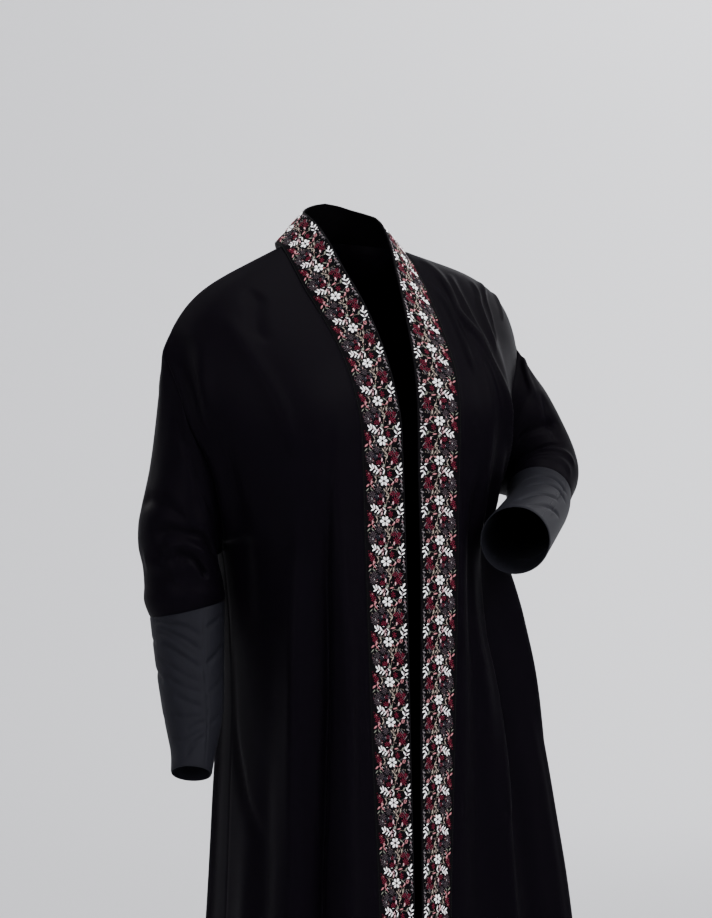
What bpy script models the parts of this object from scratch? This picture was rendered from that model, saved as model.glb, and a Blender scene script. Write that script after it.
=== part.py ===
"""Open abaya cloak in its worn form: nine sewn pieces, each a thin closed wall of cloth.

Metres, +Z up.  The front of the cloak faces -Y and the wearer's right side is -X.  The
origin lies midway between the two neck points, where the shoulder seams meet the band.
The pieces share their seam lines, and each stops short of the seam by half a small gap.
"""
import math

import bpy
import numpy as np

# ---- driving sizes -----------------------------------------------------------------
LENGTH = 1.400            # neck point straight down to the hem
NECK_HALF = 0.080         # origin to a neck point
NECK_BACK = 0.068         # origin back to the middle of the back neck seam
NECK_RISE = 0.012         # height of the middle of the back neck seam
CREPE_WALL = 0.0015
JERSEY_WALL = 0.0015
BAND_WALL = 0.0020
BAND_WIDTH = 0.050
YOKE_REACH = 0.45         # share of the upper back over which it rounds off the shoulders
BACK_SQUARE = 2.4         # how square the back quarters are in plan, 2 is an ellipse
SEAM_SETBACK = 0.00020    # each piece stops this far from its seam line
SHOULDER_ROUND = 0.016    # how far the cloth stands forward just below a shoulder seam
ROW_EASE = 1.35           # rows lie closer together near the shoulder
SHOULDER_STRAIGHT = {"right": 0.60, "left": 0.43}    # straight part of a shoulder's fall

# ---- how finely each piece is divided ----------------------------------------------
UPPER_ROWS = 12           # shoulder seam to underarm
LOWER_ROWS = 19           # underarm to hem
PANEL_COLUMNS = 16        # band seam to armhole or side seam
NECK_COLUMNS = 4          # half of the back neck
BAND_COLUMNS = 2
SLEEVE_RINGS = 14
CUFF_RINGS = 9

SIDES = {"right": -1.0, "left": 1.0}

# Outer edge of the band, from the neck point to the hem.  in_y and in_z are the parts of
# the unit step across the band towards its free edge that go to the back and up.
EDGE_COLUMNS = ("z", "x_right", "y_right", "in_y_right", "x_left", "y_left", "in_y_left", "in_z")
EDGE_ROWS = (
    (0.000, 0.0800, 0.000, -0.05, 0.0800, 0.000, -0.05, 0.70),
    (-0.016, 0.0795, -0.022, -0.28, 0.0795, -0.022, -0.28, 0.60),
    (-0.040, 0.0780, -0.048, -0.42, 0.0780, -0.048, -0.42, 0.50),
    (-0.085, 0.0705, -0.090, -0.30, 0.0705, -0.090, -0.30, 0.42),
    (-0.120, 0.0650, -0.116, -0.13, 0.0650, -0.116, -0.13, 0.31),
    (-0.158, 0.0620, -0.134, -0.10, 0.0620, -0.134, -0.10, 0.14),
    (-0.202, 0.0580, -0.142, -0.10, 0.0580, -0.142, -0.10, 0.04),
    (-0.352, 0.0560, -0.148, -0.10, 0.0566, -0.148, -0.08, 0.00),
    (-0.560, 0.0510, -0.153, 0.00, 0.0530, -0.147, -0.17, 0.00),
    (-0.757, 0.0453, -0.160, 0.14, 0.0544, -0.142, -0.33, 0.00),
    (-1.400, 0.0450, -0.178, 0.10, 0.0580, -0.160, -0.25, 0.00),
)

# Girth of the body of the cloak, and how square its front quarters are in plan.
GIRTH_COLUMNS = ("z", "right", "left", "seam_y", "back", "square_right", "square_left")
GIRTH_ROWS = (
    (0.020, 0.150, 0.168, 0.004, 0.068, 2.00, 2.00),
    (-0.060, 0.150, 0.168, 0.004, 0.098, 2.15, 2.15),
    (-0.140, 0.150, 0.168, 0.004, 0.112, 2.35, 2.20),
    (-0.240, 0.152, 0.168, 0.004, 0.110, 2.40, 2.00),
    (-0.310, 0.152, 0.166, 0.004, 0.102, 2.40, 1.80),
    (-0.400, 0.146, 0.184, 0.000, 0.095, 2.40, 1.95),
    (-0.500, 0.142, 0.208, -0.002, 0.097, 2.40, 2.30),
    (-0.600, 0.146, 0.232, -0.004, 0.106, 2.40, 2.40),
    (-0.757, 0.153, 0.268, -0.006, 0.122, 2.40, 2.40),
    (-1.400, 0.205, 0.345, -0.010, 0.178, 2.40, 2.40),
)

# Armhole seams, from the dropped shoulder point down to the underarm.
ARMHOLE_COLUMNS = ("fall", "x", "front_y", "back_y", "z")
ARMHOLE_ROWS = {
    "right": (
        (0.00, -0.2266, 0.000, 0.000, -0.118),
        (0.30, -0.2165, -0.037, 0.040, -0.192),
        (0.55, -0.1910, -0.044, 0.050, -0.250),
        (0.80, -0.1690, -0.028, 0.036, -0.308),
        (1.00, -0.1520, 0.003, 0.003, -0.340),
    ),
    "left": (
        (0.00, 0.2380, 0.005, 0.005, -0.110),
        (0.30, 0.2080, -0.042, 0.050, -0.160),
        (0.55, 0.1850, -0.054, 0.062, -0.210),
        (0.80, 0.1720, -0.038, 0.045, -0.262),
        (1.00, 0.1660, 0.004, 0.004, -0.310),
    ),
}

# Direction in which the outside of each arm faces at its armhole.
ARM_OUTSIDE = {"right": (-1.0, 0.0, 0.0), "left": (0.20, -0.45, 0.88)}

# Rings of each sleeve below its armhole.  half_out is the half size towards the outside
# of the arm, half_front towards its front, and slant moves the inner side down the arm.
RING_COLUMNS = ("x", "y", "z", "half_out", "half_front", "slant")
SLEEVE_ROWS = {
    "right": (
        (-0.1990, 0.004, -0.294, 0.0385, 0.0500, 0.056),
        (-0.2035, 0.004, -0.344, 0.0460, 0.0490, 0.030),
        (-0.2000, 0.002, -0.371, 0.0420, 0.0450, 0.011),
        (-0.2000, 0.001, -0.387, 0.0445, 0.0460, 0.003),
        (-0.1968, 0.000, -0.402, 0.0422, 0.0422, 0.000),
    ),
    "left": (
        (0.2200, -0.003, -0.210, 0.0750, 0.0520, 0.010),
        (0.2360, -0.018, -0.236, 0.0590, 0.0450, 0.001),
        (0.2420, -0.043, -0.258, 0.0440, 0.0410, 0.000),
        (0.2210, -0.066, -0.278, 0.0390, 0.0365, 0.000),
    ),
}
CUFF_ROWS = {
    "right": (
        (-0.2044, -0.022, -0.465, 0.0372, 0.0372, 0.000),
        (-0.2107, -0.042, -0.517, 0.0322, 0.0322, 0.000),
        (-0.2190, -0.058, -0.552, 0.0245, 0.0255, 0.000),
        (-0.2262, -0.068, -0.576, 0.0220, 0.0230, 0.000),
    ),
    "left": (
        (0.2050, -0.089, -0.291, 0.0370, 0.0355, 0.000),
        (0.1710, -0.127, -0.304, 0.0370, 0.0355, 0.000),
        (0.1060, -0.194, -0.327, 0.0400, 0.0380, 0.000),
    ),
}

# Largest folds.  at_top and at_hem run from 0 at the band seam (front) or the centre
# (back) to 1 at the side, depth is positive for a ridge and negative for a trough.
FOLD_COLUMNS = ("at_top", "at_hem", "z_top", "z_end", "half_width", "depth")
FRONT_FOLDS = {
    "right": (
        (0.30, 0.46, -0.26, -1.60, 0.022, -0.011),
        (0.16, 0.22, -0.30, -1.60, 0.020, 0.006),
        (0.50, 0.70, -0.34, -1.60, 0.024, 0.009),
        (0.88, 0.86, -0.08, -0.30, 0.016, -0.006),
    ),
    "left": (
        (0.10, 0.30, -0.01, -0.30, 0.014, 0.007),
        (0.24, 0.62, -0.02, -0.42, 0.016, 0.009),
        (0.38, 0.42, -0.18, -0.44, 0.030, -0.009),
        (0.30, 0.42, -0.30, -1.60, 0.026, -0.016),
        (0.62, 0.62, -0.28, -1.60, 0.018, 0.012),
        (0.74, 0.74, -0.34, -1.60, 0.018, -0.012),
    ),
}
BACK_FOLDS = {
    "right": (
        (0.16, 0.20, -0.24, -1.60, 0.024, -0.012),
        (0.40, 0.46, -0.20, -1.60, 0.024, 0.012),
        (0.62, 0.68, -0.26, -1.60, 0.024, -0.012),
    ),
    "left": (
        (0.22, 0.26, -0.20, -1.60, 0.026, 0.012),
        (0.44, 0.48, -0.22, -1.60, 0.024, -0.013),
        (0.66, 0.72, -0.24, -1.60, 0.024, 0.013),
    ),
}
FOLD_FADE = 0.14          # length over which a fold grows to its full depth
SEAM_CALM = 0.10          # share of a panel beside a seam where folds die out
SHOULDER_CALM = 2         # rows below the shoulder seam where folds die out
SHARP_ANGLE = math.radians(50)

CREPE = ("black crepe", (0.0026, 0.0026, 0.0036, 1.0), 0.62)
JERSEY = ("charcoal stretch jersey", (0.020, 0.020, 0.022, 1.0), 0.70)
TRIM = ("embroidered trim", (0.110, 0.060, 0.060, 1.0), 0.60)


def named(columns, rows):
    """Turn table rows into one array for each column name."""
    return dict(zip(columns, np.array(rows, dtype=float).T))


def smooth_at(xs, ys, x):
    """Monotone-safe smooth curve through (xs, ys), xs rising, read at x."""
    xs, ys = np.asarray(xs), np.asarray(ys)
    x = min(max(float(x), xs[0]), xs[-1])
    slopes = np.diff(ys) / np.diff(xs)
    tangents = np.empty_like(ys)
    tangents[0], tangents[-1] = slopes[0], slopes[-1]
    for i in range(1, len(xs) - 1):
        before, after = slopes[i - 1], slopes[i]
        steady = before * after > 0
        tangents[i] = 2 * before * after / (before + after) if steady else 0.0
    i = int(min(np.searchsorted(xs, x, side="right") - 1, len(xs) - 2))
    width = xs[i + 1] - xs[i]
    t = (x - xs[i]) / width
    return ((2 * t**3 - 3 * t**2 + 1) * ys[i] + (t**3 - 2 * t**2 + t) * width * tangents[i]
            + (3 * t**2 - 2 * t**3) * ys[i + 1] + (t**3 - t**2) * width * tangents[i + 1])


def unit(vector):
    return vector / max(float(np.linalg.norm(vector)), 1e-12)


EDGE = named(EDGE_COLUMNS, EDGE_ROWS[::-1])
GIRTH = named(GIRTH_COLUMNS, GIRTH_ROWS[::-1])
ARMHOLE = {side: named(ARMHOLE_COLUMNS, rows) for side, rows in ARMHOLE_ROWS.items()}
UNDERARM_Z = {side: rows[-1][-1] for side, rows in ARMHOLE_ROWS.items()}


def edge_point(side, z):
    x = smooth_at(EDGE["z"], EDGE["x_" + side], z)
    return np.array((SIDES[side] * x, smooth_at(EDGE["z"], EDGE["y_" + side], z), z))


def edge_inward(side, z):
    """Unit step from the band seam across the band to its free edge."""
    back = smooth_at(EDGE["z"], EDGE["in_y_" + side], z)
    up = smooth_at(EDGE["z"], EDGE["in_z"], z)
    across = math.sqrt(max(1.0 - back * back - up * up, 0.0))
    return np.array((-SIDES[side] * across, back, up))


def armhole_point(side, fall, front):
    hole = ARMHOLE[side]
    y_column = "front_y" if front else "back_y"
    return np.array([smooth_at(hole["fall"], hole[name], fall) for name in ("x", y_column, "z")])


def side_point(side, z):
    x = SIDES[side] * smooth_at(GIRTH["z"], GIRTH[side], z)
    return np.array((x, smooth_at(GIRTH["z"], GIRTH["seam_y"], z), z))


def shoulder_point(side, share):
    """Shoulder seam, from the neck point (0) to the dropped shoulder point (1)."""
    tip = armhole_point(side, 0.0, True)
    out = math.sin(share * math.pi / 2)
    x = SIDES[side] * NECK_HALF + (tip[0] - SIDES[side] * NECK_HALF) * out
    straight = SHOULDER_STRAIGHT[side]
    return np.array((x, tip[1] * out, tip[2] * (straight * out + (1 - straight) * out**6)))


def front_square(side, z):
    return smooth_at(GIRTH["z"], GIRTH["square_" + side], z)


def quarter(start, end, share, squareness):
    """Plan point on a rounded quarter turn that leaves start along X and meets end along Y."""
    turn = share * math.pi / 2
    across = math.sin(turn) ** (2 / squareness)
    along = max(math.cos(turn), 0.0) ** (2 / squareness)
    return np.array((start[0] + (end[0] - start[0]) * across, end[1] + (start[1] - end[1]) * along))


def front_point(side, share, row):
    """Point of a front, share 0 at the band seam and 1 at the armhole or side seam."""
    low = UNDERARM_Z[side]
    if row == 0:
        return shoulder_point(side, share)
    if row <= UPPER_ROWS:
        fall = row / UPPER_ROWS
        eased = fall**ROW_EASE
        outer = armhole_point(side, fall, True)
        top = shoulder_point(side, share)
        tip_z = armhole_point(side, 0.0, True)[2]
        z = top[2] + (low - top[2]) * eased
        z += share**2 * (outer[2] - (tip_z + (low - tip_z) * eased))
        plan = quarter(edge_point(side, low * eased), outer, share, front_square(side, low * eased))
        swell = fall / 0.15 * math.exp(1 - fall / 0.15)
        plan[1] -= SHOULDER_ROUND * math.sin(math.pi * share) * swell
    else:
        z = low + (-LENGTH - low) * (row - UPPER_ROWS) / LOWER_ROWS
        plan = quarter(edge_point(side, z), side_point(side, z), share, front_square(side, z))
    return np.array((plan[0], plan[1], z))


def back_top_point(side, column):
    """Top line of the back: half the neck seam, then the shoulder seam."""
    if column <= NECK_COLUMNS:
        turn = column / NECK_COLUMNS * math.pi / 2
        x = SIDES[side] * NECK_HALF * math.sin(turn)
        return np.array((x, NECK_BACK * math.cos(turn), NECK_RISE * math.cos(turn)))
    return shoulder_point(side, (column - NECK_COLUMNS) / PANEL_COLUMNS)


def back_point(side, column, row):
    """Point of one half of the back, column 0 at the centre and the last one at the side."""
    share = column / (NECK_COLUMNS + PANEL_COLUMNS)
    own, other = UNDERARM_Z[side], UNDERARM_Z["left" if side == "right" else "right"]
    low = 0.5 * (own + other) + 0.5 * share * (own - other)
    if row <= UPPER_ROWS:
        fall = row / UPPER_ROWS
        eased = fall**ROW_EASE
        top = back_top_point(side, column)
        outer = armhole_point(side, fall, False)
        tip_z = armhole_point(side, 0.0, False)[2]
        z = top[2] + (low - top[2]) * eased
        z += share**2 * (outer[2] - (tip_z + (own - tip_z) * eased))
        middle = (0.0, smooth_at(GIRTH["z"], GIRTH["back"], z))
        plan = quarter(middle, outer, share, BACK_SQUARE)
        reach = YOKE_REACH * (1.0 - share**3) + 0.06
        settled = 1.0 - (1.0 - min(fall / reach, 1.0)) ** 2
        plan = top[:2] + (plan - top[:2]) * settled
    else:
        z = low + (-LENGTH - low) * (row - UPPER_ROWS) / LOWER_ROWS
        middle = (0.0, smooth_at(GIRTH["z"], GIRTH["back"], z))
        plan = quarter(middle, side_point(side, z), share, BACK_SQUARE)
    return np.array((plan[0], plan[1], z))


def normals_of(grid, closed=False):
    """Unit normals of a grid of points; closed joins its last column to its first."""
    if closed:
        across = np.roll(grid, -1, axis=1) - np.roll(grid, 1, axis=1)
    else:
        across = np.gradient(grid, axis=1)
    normal = np.cross(across, np.gradient(grid, axis=0))
    return normal / np.maximum(np.linalg.norm(normal, axis=2, keepdims=True), 1e-12)


def fold_depth(folds, share, z, span):
    """Height of all the folds at one point of a panel whose row is span metres long."""
    total = 0.0
    for at_top, at_hem, z_top, z_end, half_width, depth in folds:
        if z > z_top or z < z_end - FOLD_FADE:
            continue
        run = (z_top - z) / (z_top - max(z_end, -LENGTH))
        centre = at_top + (at_hem - at_top) * min(run, 1.0)
        grown = min((z_top - z) / FOLD_FADE, 1.0)
        left = min((z - z_end + FOLD_FADE) / FOLD_FADE, 1.0)
        offset = (share - centre) * span / half_width
        total += depth * math.exp(-offset * offset) * math.sin(grown * left * math.pi / 2)
    calm = min(share / SEAM_CALM, (1.0 - share) / SEAM_CALM, 1.0)
    return total * math.sin(max(calm, 0.0) * math.pi / 2)


def lay_folds(grid, folds_at):
    """Move the points of a grid along its normals by the folds."""
    normal = normals_of(grid)
    raised = grid.copy()
    for r in range(grid.shape[0]):
        calm = min(r / SHOULDER_CALM, 1.0)
        span = float(np.linalg.norm(np.diff(grid[r], axis=0), axis=1).sum())
        for c in range(grid.shape[1]):
            raised[r, c] += normal[r, c] * calm * folds_at(c, grid[r, c, 2], span)
    return raised


def front_grid(side):
    """Grid of a front.  At the front, columns run towards -X, so its normals point out."""
    shares = np.linspace(0.0, 1.0, PANEL_COLUMNS + 1)
    shares = shares if side == "right" else shares[::-1]
    rows = range(UPPER_ROWS + LOWER_ROWS + 1)
    grid = np.array([[front_point(side, share, r) for share in shares] for r in rows])
    return lay_folds(grid, lambda c, z, span: fold_depth(FRONT_FOLDS[side], shares[c], z, span))


def back_grid():
    """Grid of the back.  Its columns run towards +X, from the right side to the left."""
    half = NECK_COLUMNS + PANEL_COLUMNS
    grid = np.empty((UPPER_ROWS + LOWER_ROWS + 1, 2 * half + 1, 3))
    for r in range(grid.shape[0]):
        for c in range(half + 1):
            grid[r, half - c] = back_point("right", c, r)
            grid[r, half + c] = back_point("left", c, r)

    def folds_at(column, z, span):
        side = "left" if column >= half else "right"
        return fold_depth(BACK_FOLDS[side], abs(column - half) / half, z, span / 2)

    return lay_folds(grid, folds_at)


def smooth_rings(rings, count):
    """Catmull-Rom rings through the given rings, count of them, evenly by mean distance."""
    rings = np.array(rings)
    gaps = np.linalg.norm(np.diff(rings, axis=0), axis=2).mean(axis=1)
    reach = np.concatenate(((0.0,), np.cumsum(gaps)))
    padded = np.concatenate((rings[:1] * 2 - rings[1:2], rings, rings[-1:] * 2 - rings[-2:-1]))
    result = []
    for at in np.linspace(0.0, reach[-1], count):
        i = int(min(np.searchsorted(reach, at, side="right") - 1, len(gaps) - 1))
        t = (at - reach[i]) / gaps[i]
        p0, p1, p2, p3 = padded[i:i + 4]
        result.append(0.5 * (2 * p1 + (p2 - p0) * t + (2 * p0 - 5 * p1 + 4 * p2 - p3) * t**2
                             + (3 * p1 - p0 - 3 * p2 + p3) * t**3))
    return np.array(result)


def arm_rings(side, rows, first_out, before):
    """Rings across an arm.  Their outside direction is carried along the arm from first_out."""
    table = np.array(rows)
    centres = table[:, :3]
    path = np.concatenate((np.array(before)[None], centres))
    out = np.array(first_out, dtype=float)
    rings = []
    for i, (row, centre) in enumerate(zip(table, centres)):
        ahead = path[min(i + 2, len(path) - 1)]
        along = unit(ahead - path[i])
        out = unit(out - along * np.dot(out, along))
        front = np.cross(along, out) * SIDES[side]
        turns = np.linspace(0.0, 2 * math.pi, 2 * UPPER_ROWS, endpoint=False)
        half_out, half_front, slant = row[3:]
        rings.append([centre + out * half_out * math.cos(a) + front * half_front * math.sin(a)
                      - along * slant * math.cos(a) for a in turns])
    return rings, out, centres[-1]


def armhole_ring(side):
    down = [armhole_point(side, r / UPPER_ROWS, True) for r in range(UPPER_ROWS + 1)]
    up = [armhole_point(side, r / UPPER_ROWS, False) for r in range(UPPER_ROWS - 1, 0, -1)]
    return down + up


def arm_grids(side):
    """Sleeve and cuff of one arm, ring by ring from the armhole to the wrist."""
    start = armhole_ring(side)
    rings, out, elbow = arm_rings(side, SLEEVE_ROWS[side], ARM_OUTSIDE[side], np.mean(start, axis=0))
    sleeve = smooth_rings([start] + rings, SLEEVE_RINGS)
    lower, _, _ = arm_rings(side, CUFF_ROWS[side], out, elbow)
    cuff = smooth_rings([rings[-1]] + lower, CUFF_RINGS)
    # The rings run the same way round on both arms, so that their normals point out.
    if side == "right":
        sleeve = np.concatenate((sleeve[:, :1], sleeve[:, :0:-1]), axis=1)
        cuff = np.concatenate((cuff[:, :1], cuff[:, :0:-1]), axis=1)
    return sleeve, cuff


def band_grid(side, front):
    """Band from the hem up the front edge and round the neck to the centre back."""
    seam_column = 0 if side == "right" else -1
    seam = list(front[::-1, seam_column])
    steps = [edge_inward(side, min(point[2], 0.0)) for point in seam]
    for column in range(NECK_COLUMNS - 1, -1, -1):
        point = back_top_point(side, column)
        turn = column / NECK_COLUMNS
        flat = unit(np.array((-point[0], -point[1] * (1.0 - turn) - 0.02 * turn, 0.0)))
        up = 0.84 - 0.14 * turn
        seam.append(point)
        steps.append(flat * math.sqrt(1.0 - up * up) + np.array((0.0, 0.0, up)))
    grid = np.array([[point + step * BAND_WIDTH * c / BAND_COLUMNS for c in range(BAND_COLUMNS + 1)]
                     for point, step in zip(seam, steps)])
    return grid if side == "right" else grid[:, ::-1]


class Piece:
    """One piece of cloth: a grid of points on its outside, its wall and its look."""

    def __init__(self, name, grid, closed, wall, look):
        self.name, self.grid, self.closed, self.wall, self.look = name, grid, closed, wall, look
        self.normals = normals_of(grid, closed)


def share_seam_normals(pieces):
    """Give points that pieces share one mean normal, so their cut edges stay parallel."""
    met = {}
    for piece in pieces:
        for index in np.ndindex(piece.grid.shape[:2]):
            key = tuple(np.round(piece.grid[index], 6))
            met.setdefault(key, []).append((piece, index))
    for places in met.values():
        if len(places) > 1:
            mean = unit(sum(piece.normals[index] for piece, index in places))
            for piece, index in places:
                piece.normals[index] = mean


def rim_push(line, normals, next_line, closed):
    """Mitred unit setback for each point of a rim, within the cloth and towards its middle."""
    if closed:
        line = np.concatenate((line[-1:], line, line[:1]))
        normals = np.concatenate((normals[-1:], normals, normals[:1]))
        next_line = np.concatenate((next_line[-1:], next_line, next_line[:1]))
    square = np.cross(normals[:-1] + normals[1:], np.diff(line, axis=0))
    square /= np.maximum(np.linalg.norm(square, axis=1, keepdims=True), 1e-12)
    across = (next_line[:-1] + next_line[1:]) - (line[:-1] + line[1:])
    square *= np.sign(np.einsum("ij,ij->i", square, across))[:, None]
    before = square[:-1] if closed else np.concatenate((square[:1], square))
    after = square[1:] if closed else np.concatenate((square, square[-1:]))
    spread = 1.0 + np.einsum("ij,ij->i", before, after)
    return (before + after) / np.maximum(spread, 0.5)[:, None]


def set_back_from_seams(piece):
    """Pull every rim of a piece back from its seam line."""
    grid, normals = piece.grid, piece.normals
    moved = grid.copy()
    rims = [((0, slice(None)), (1, slice(None))), ((-1, slice(None)), (-2, slice(None)))]
    if not piece.closed:
        rims += [((slice(None), 0), (slice(None), 1)), ((slice(None), -1), (slice(None), -2))]
    for rim, next_row in rims:
        moved[rim] += SEAM_SETBACK * rim_push(grid[rim], normals[rim], grid[next_row], piece.closed)
    return moved


def build_piece(piece, material):
    """Closed wall between the outer grid and the same grid moved in by its thickness."""
    outer = set_back_from_seams(piece)
    inner = outer - piece.normals * piece.wall
    rows, columns = outer.shape[:2]
    points = np.concatenate((outer.reshape(-1, 3), inner.reshape(-1, 3)))
    inside = rows * columns
    wrap = columns if piece.closed else columns - 1
    faces = []

    def quad(a, b, c, d):
        faces.extend(((a, b, c), (a, c, d)))

    def rim_quad(a, b, c, d):
        """Split a twisted rim face along the diagonal that keeps it back from its seam."""
        square = np.cross(points[b] - points[a], points[c] - points[a])
        if square @ (points[d] - points[a]) > 0.0:
            quad(a, b, c, d)
        else:
            quad(b, c, d, a)

    for r in range(rows - 1):
        for c in range(wrap):
            near, far = r * columns + c, r * columns + (c + 1) % columns
            quad(near, far, far + columns, near + columns)
            quad(near + inside, near + columns + inside, far + columns + inside, far + inside)
    last_row = (rows - 1) * columns
    for c in range(wrap):
        near, far = c, (c + 1) % columns
        rim_quad(far, near, near + inside, far + inside)
        rim_quad(near + last_row, far + last_row, far + last_row + inside, near + last_row + inside)
    if not piece.closed:
        for r in range(rows - 1):
            first, last = r * columns, (r + 1) * columns - 1
            rim_quad(first, first + columns, first + columns + inside, first + inside)
            rim_quad(last + columns, last, last + inside, last + columns + inside)
    mesh = bpy.data.meshes.new(piece.name)
    mesh.from_pydata(points.tolist(), [], faces)
    mesh.shade_smooth()
    mesh.set_sharp_from_angle(angle=SHARP_ANGLE)
    mesh.materials.append(material)
    thing = bpy.data.objects.new(piece.name, mesh)
    bpy.context.scene.collection.objects.link(thing)


def make_material(name, colour, roughness):
    material = bpy.data.materials.new(name)
    material.use_nodes = True
    shader = material.node_tree.nodes["Principled BSDF"]
    shader.inputs["Base Color"].default_value = colour
    shader.inputs["Roughness"].default_value = roughness
    shader.inputs["Metallic"].default_value = 0.0
    return material


def sewn_pieces():
    """All nine pieces in the order in which they are sewn."""
    pieces = [Piece("back", back_grid(), False, CREPE_WALL, CREPE)]
    for side in SIDES:
        front = front_grid(side)
        sleeve, cuff = arm_grids(side)
        pieces.append(Piece("front_" + side, front, False, CREPE_WALL, CREPE))
        pieces.append(Piece("sleeve_" + side, sleeve, True, CREPE_WALL, CREPE))
        pieces.append(Piece("cuff_" + side, cuff, True, JERSEY_WALL, JERSEY))
        pieces.append(Piece("band_" + side, band_grid(side, front), False, BAND_WALL, TRIM))
    return pieces


def main():
    for thing in list(bpy.data.objects):
        bpy.data.objects.remove(thing, do_unlink=True)
    pieces = sewn_pieces()
    share_seam_normals(pieces)
    looks = {look: make_material(*look) for look in (CREPE, JERSEY, TRIM)}
    for piece in pieces:
        build_piece(piece, looks[piece.look])


main()
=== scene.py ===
"""Open abaya cloak in its worn form: the looks of its nine sewn pieces, and a small studio.

Metres, +Z up.  The front of the cloak faces -Y and the wearer's right side is -X.  Every
cloth piece is a thin shell that follows the form of its solid, with its creases listed one
by one, and the band carries raised embroidery.
"""
import math

import bpy
import numpy as np
from mathutils import Matrix, Vector


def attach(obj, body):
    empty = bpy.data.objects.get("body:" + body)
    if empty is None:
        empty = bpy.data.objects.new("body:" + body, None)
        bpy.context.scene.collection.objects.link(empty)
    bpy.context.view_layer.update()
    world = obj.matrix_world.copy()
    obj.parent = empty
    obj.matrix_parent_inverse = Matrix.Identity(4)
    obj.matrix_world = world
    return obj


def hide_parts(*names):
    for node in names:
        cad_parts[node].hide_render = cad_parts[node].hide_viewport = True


bl_info = {
    "name": "Abaya cloak",
    "version": (1, 0, 0),
    "blender": (4, 5, 0),
    "location": "3D View > Sidebar > Abaya",
    "description": "Builds an open abaya cloak with an embroidered band in a small studio",
    "category": "Object",
}

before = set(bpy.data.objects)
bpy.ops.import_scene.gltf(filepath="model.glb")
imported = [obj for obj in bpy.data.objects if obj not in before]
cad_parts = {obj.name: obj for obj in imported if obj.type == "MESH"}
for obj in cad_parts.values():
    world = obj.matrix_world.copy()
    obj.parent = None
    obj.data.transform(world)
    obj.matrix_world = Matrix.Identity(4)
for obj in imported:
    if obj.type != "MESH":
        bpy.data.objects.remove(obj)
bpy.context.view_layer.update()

# ---- form of the cloak, in metres --------------------------------------------------
LENGTH = 1.400            # neck point straight down to the hem
NECK_HALF = 0.080         # half the neck seam, side to side
NECK_BACK = 0.068         # neck seam at the centre back, behind the neck points
NECK_RISE = 0.012         # and above them
BAND_WIDTH = 0.050
BAND_RISE = (0.84, 0.70)  # upward share of the band's width, at the neck point and centre back
BAND_LEAN = 0.02          # how far the band leans forward at the centre back
YOKE_REACH = 0.45         # share of the armhole's fall in which the upper back fills out
YOKE_LEAST = 0.06
BACK_SQUARE = 2.4         # squareness of the back in plan, 2 for an ellipse
YOKE_SQUARE = 1.5
SHOULDER_ROUND = 0.016    # how far the front swells over the shoulder
SHOULDER_FULL = 0.15      # share of the armhole's fall at which it is fullest
SHOULDER_TURN = 6         # power by which the shoulder seam turns down at its end
SHOULDER_STRAIGHT = {"right": 0.60, "left": 0.37}
ROW_EASE = 1.35           # rows are closer at the shoulder by this power
UPPER_ROWS = 12           # shoulder to underarm
LOWER_ROWS = 19           # underarm to hem
PANEL_COLUMNS = 16
NECK_COLUMNS = 4
BAND_COLUMNS = 8
SLEEVE_RINGS = 14
CUFF_RINGS = 9
CURVE_STEPS = 4           # steps between the given points of a crease or band line
SIDES = {"right": -1.0, "left": 1.0}
TINY = 1e-12

EDGE_COLUMNS = ("z", "x_right", "y_right", "in_y_right", "x_left", "y_left", "in_y_left", "in_z")
EDGE_ROWS = (
    (0.000, 0.0800, 0.000, -0.05, 0.0800, 0.000, -0.05, 0.70),
    (-0.016, 0.0815, -0.022, -0.28, 0.0795, -0.022, -0.20, 0.60),
    (-0.040, 0.0830, -0.048, -0.42, 0.0785, -0.049, -0.08, 0.50),
    (-0.085, 0.0765, -0.090, -0.30, 0.0735, -0.092, 0.14, 0.42),
    (-0.120, 0.0700, -0.116, -0.13, 0.0700, -0.121, 0.30, 0.31),
    (-0.158, 0.0645, -0.134, -0.10, 0.0670, -0.142, 0.32, 0.14),
    (-0.202, 0.0592, -0.142, -0.10, 0.0635, -0.152, 0.25, 0.04),
    (-0.352, 0.0565, -0.148, -0.10, 0.0600, -0.152, -0.04, 0.00),
    (-0.560, 0.0510, -0.153, 0.00, 0.0580, -0.148, -0.17, 0.00),
    (-0.757, 0.0453, -0.160, 0.14, 0.0570, -0.142, -0.33, 0.00),
    (-1.400, 0.0450, -0.178, 0.10, 0.0580, -0.160, -0.25, 0.00),
)
GIRTH_COLUMNS = ("z", "right", "left", "seam_y", "back", "square_right", "square_left")
GIRTH_ROWS = (
    (0.020, 0.150, 0.168, 0.004, 0.068, 2.00, 2.00),
    (-0.060, 0.150, 0.168, 0.004, 0.098, 2.15, 2.15),
    (-0.140, 0.150, 0.168, 0.004, 0.112, 2.35, 2.20),
    (-0.240, 0.152, 0.168, 0.004, 0.110, 2.40, 2.00),
    (-0.310, 0.152, 0.166, 0.004, 0.102, 2.40, 1.80),
    (-0.400, 0.146, 0.184, 0.000, 0.095, 2.40, 1.95),
    (-0.500, 0.142, 0.208, -0.002, 0.097, 2.40, 2.30),
    (-0.600, 0.146, 0.232, -0.004, 0.106, 2.40, 2.40),
    (-0.757, 0.153, 0.268, -0.006, 0.122, 2.40, 2.40),
    (-1.400, 0.205, 0.345, -0.010, 0.178, 2.40, 2.40),
)
ARMHOLE_COLUMNS = ("fall", "x", "front_y", "back_y", "z")
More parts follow.
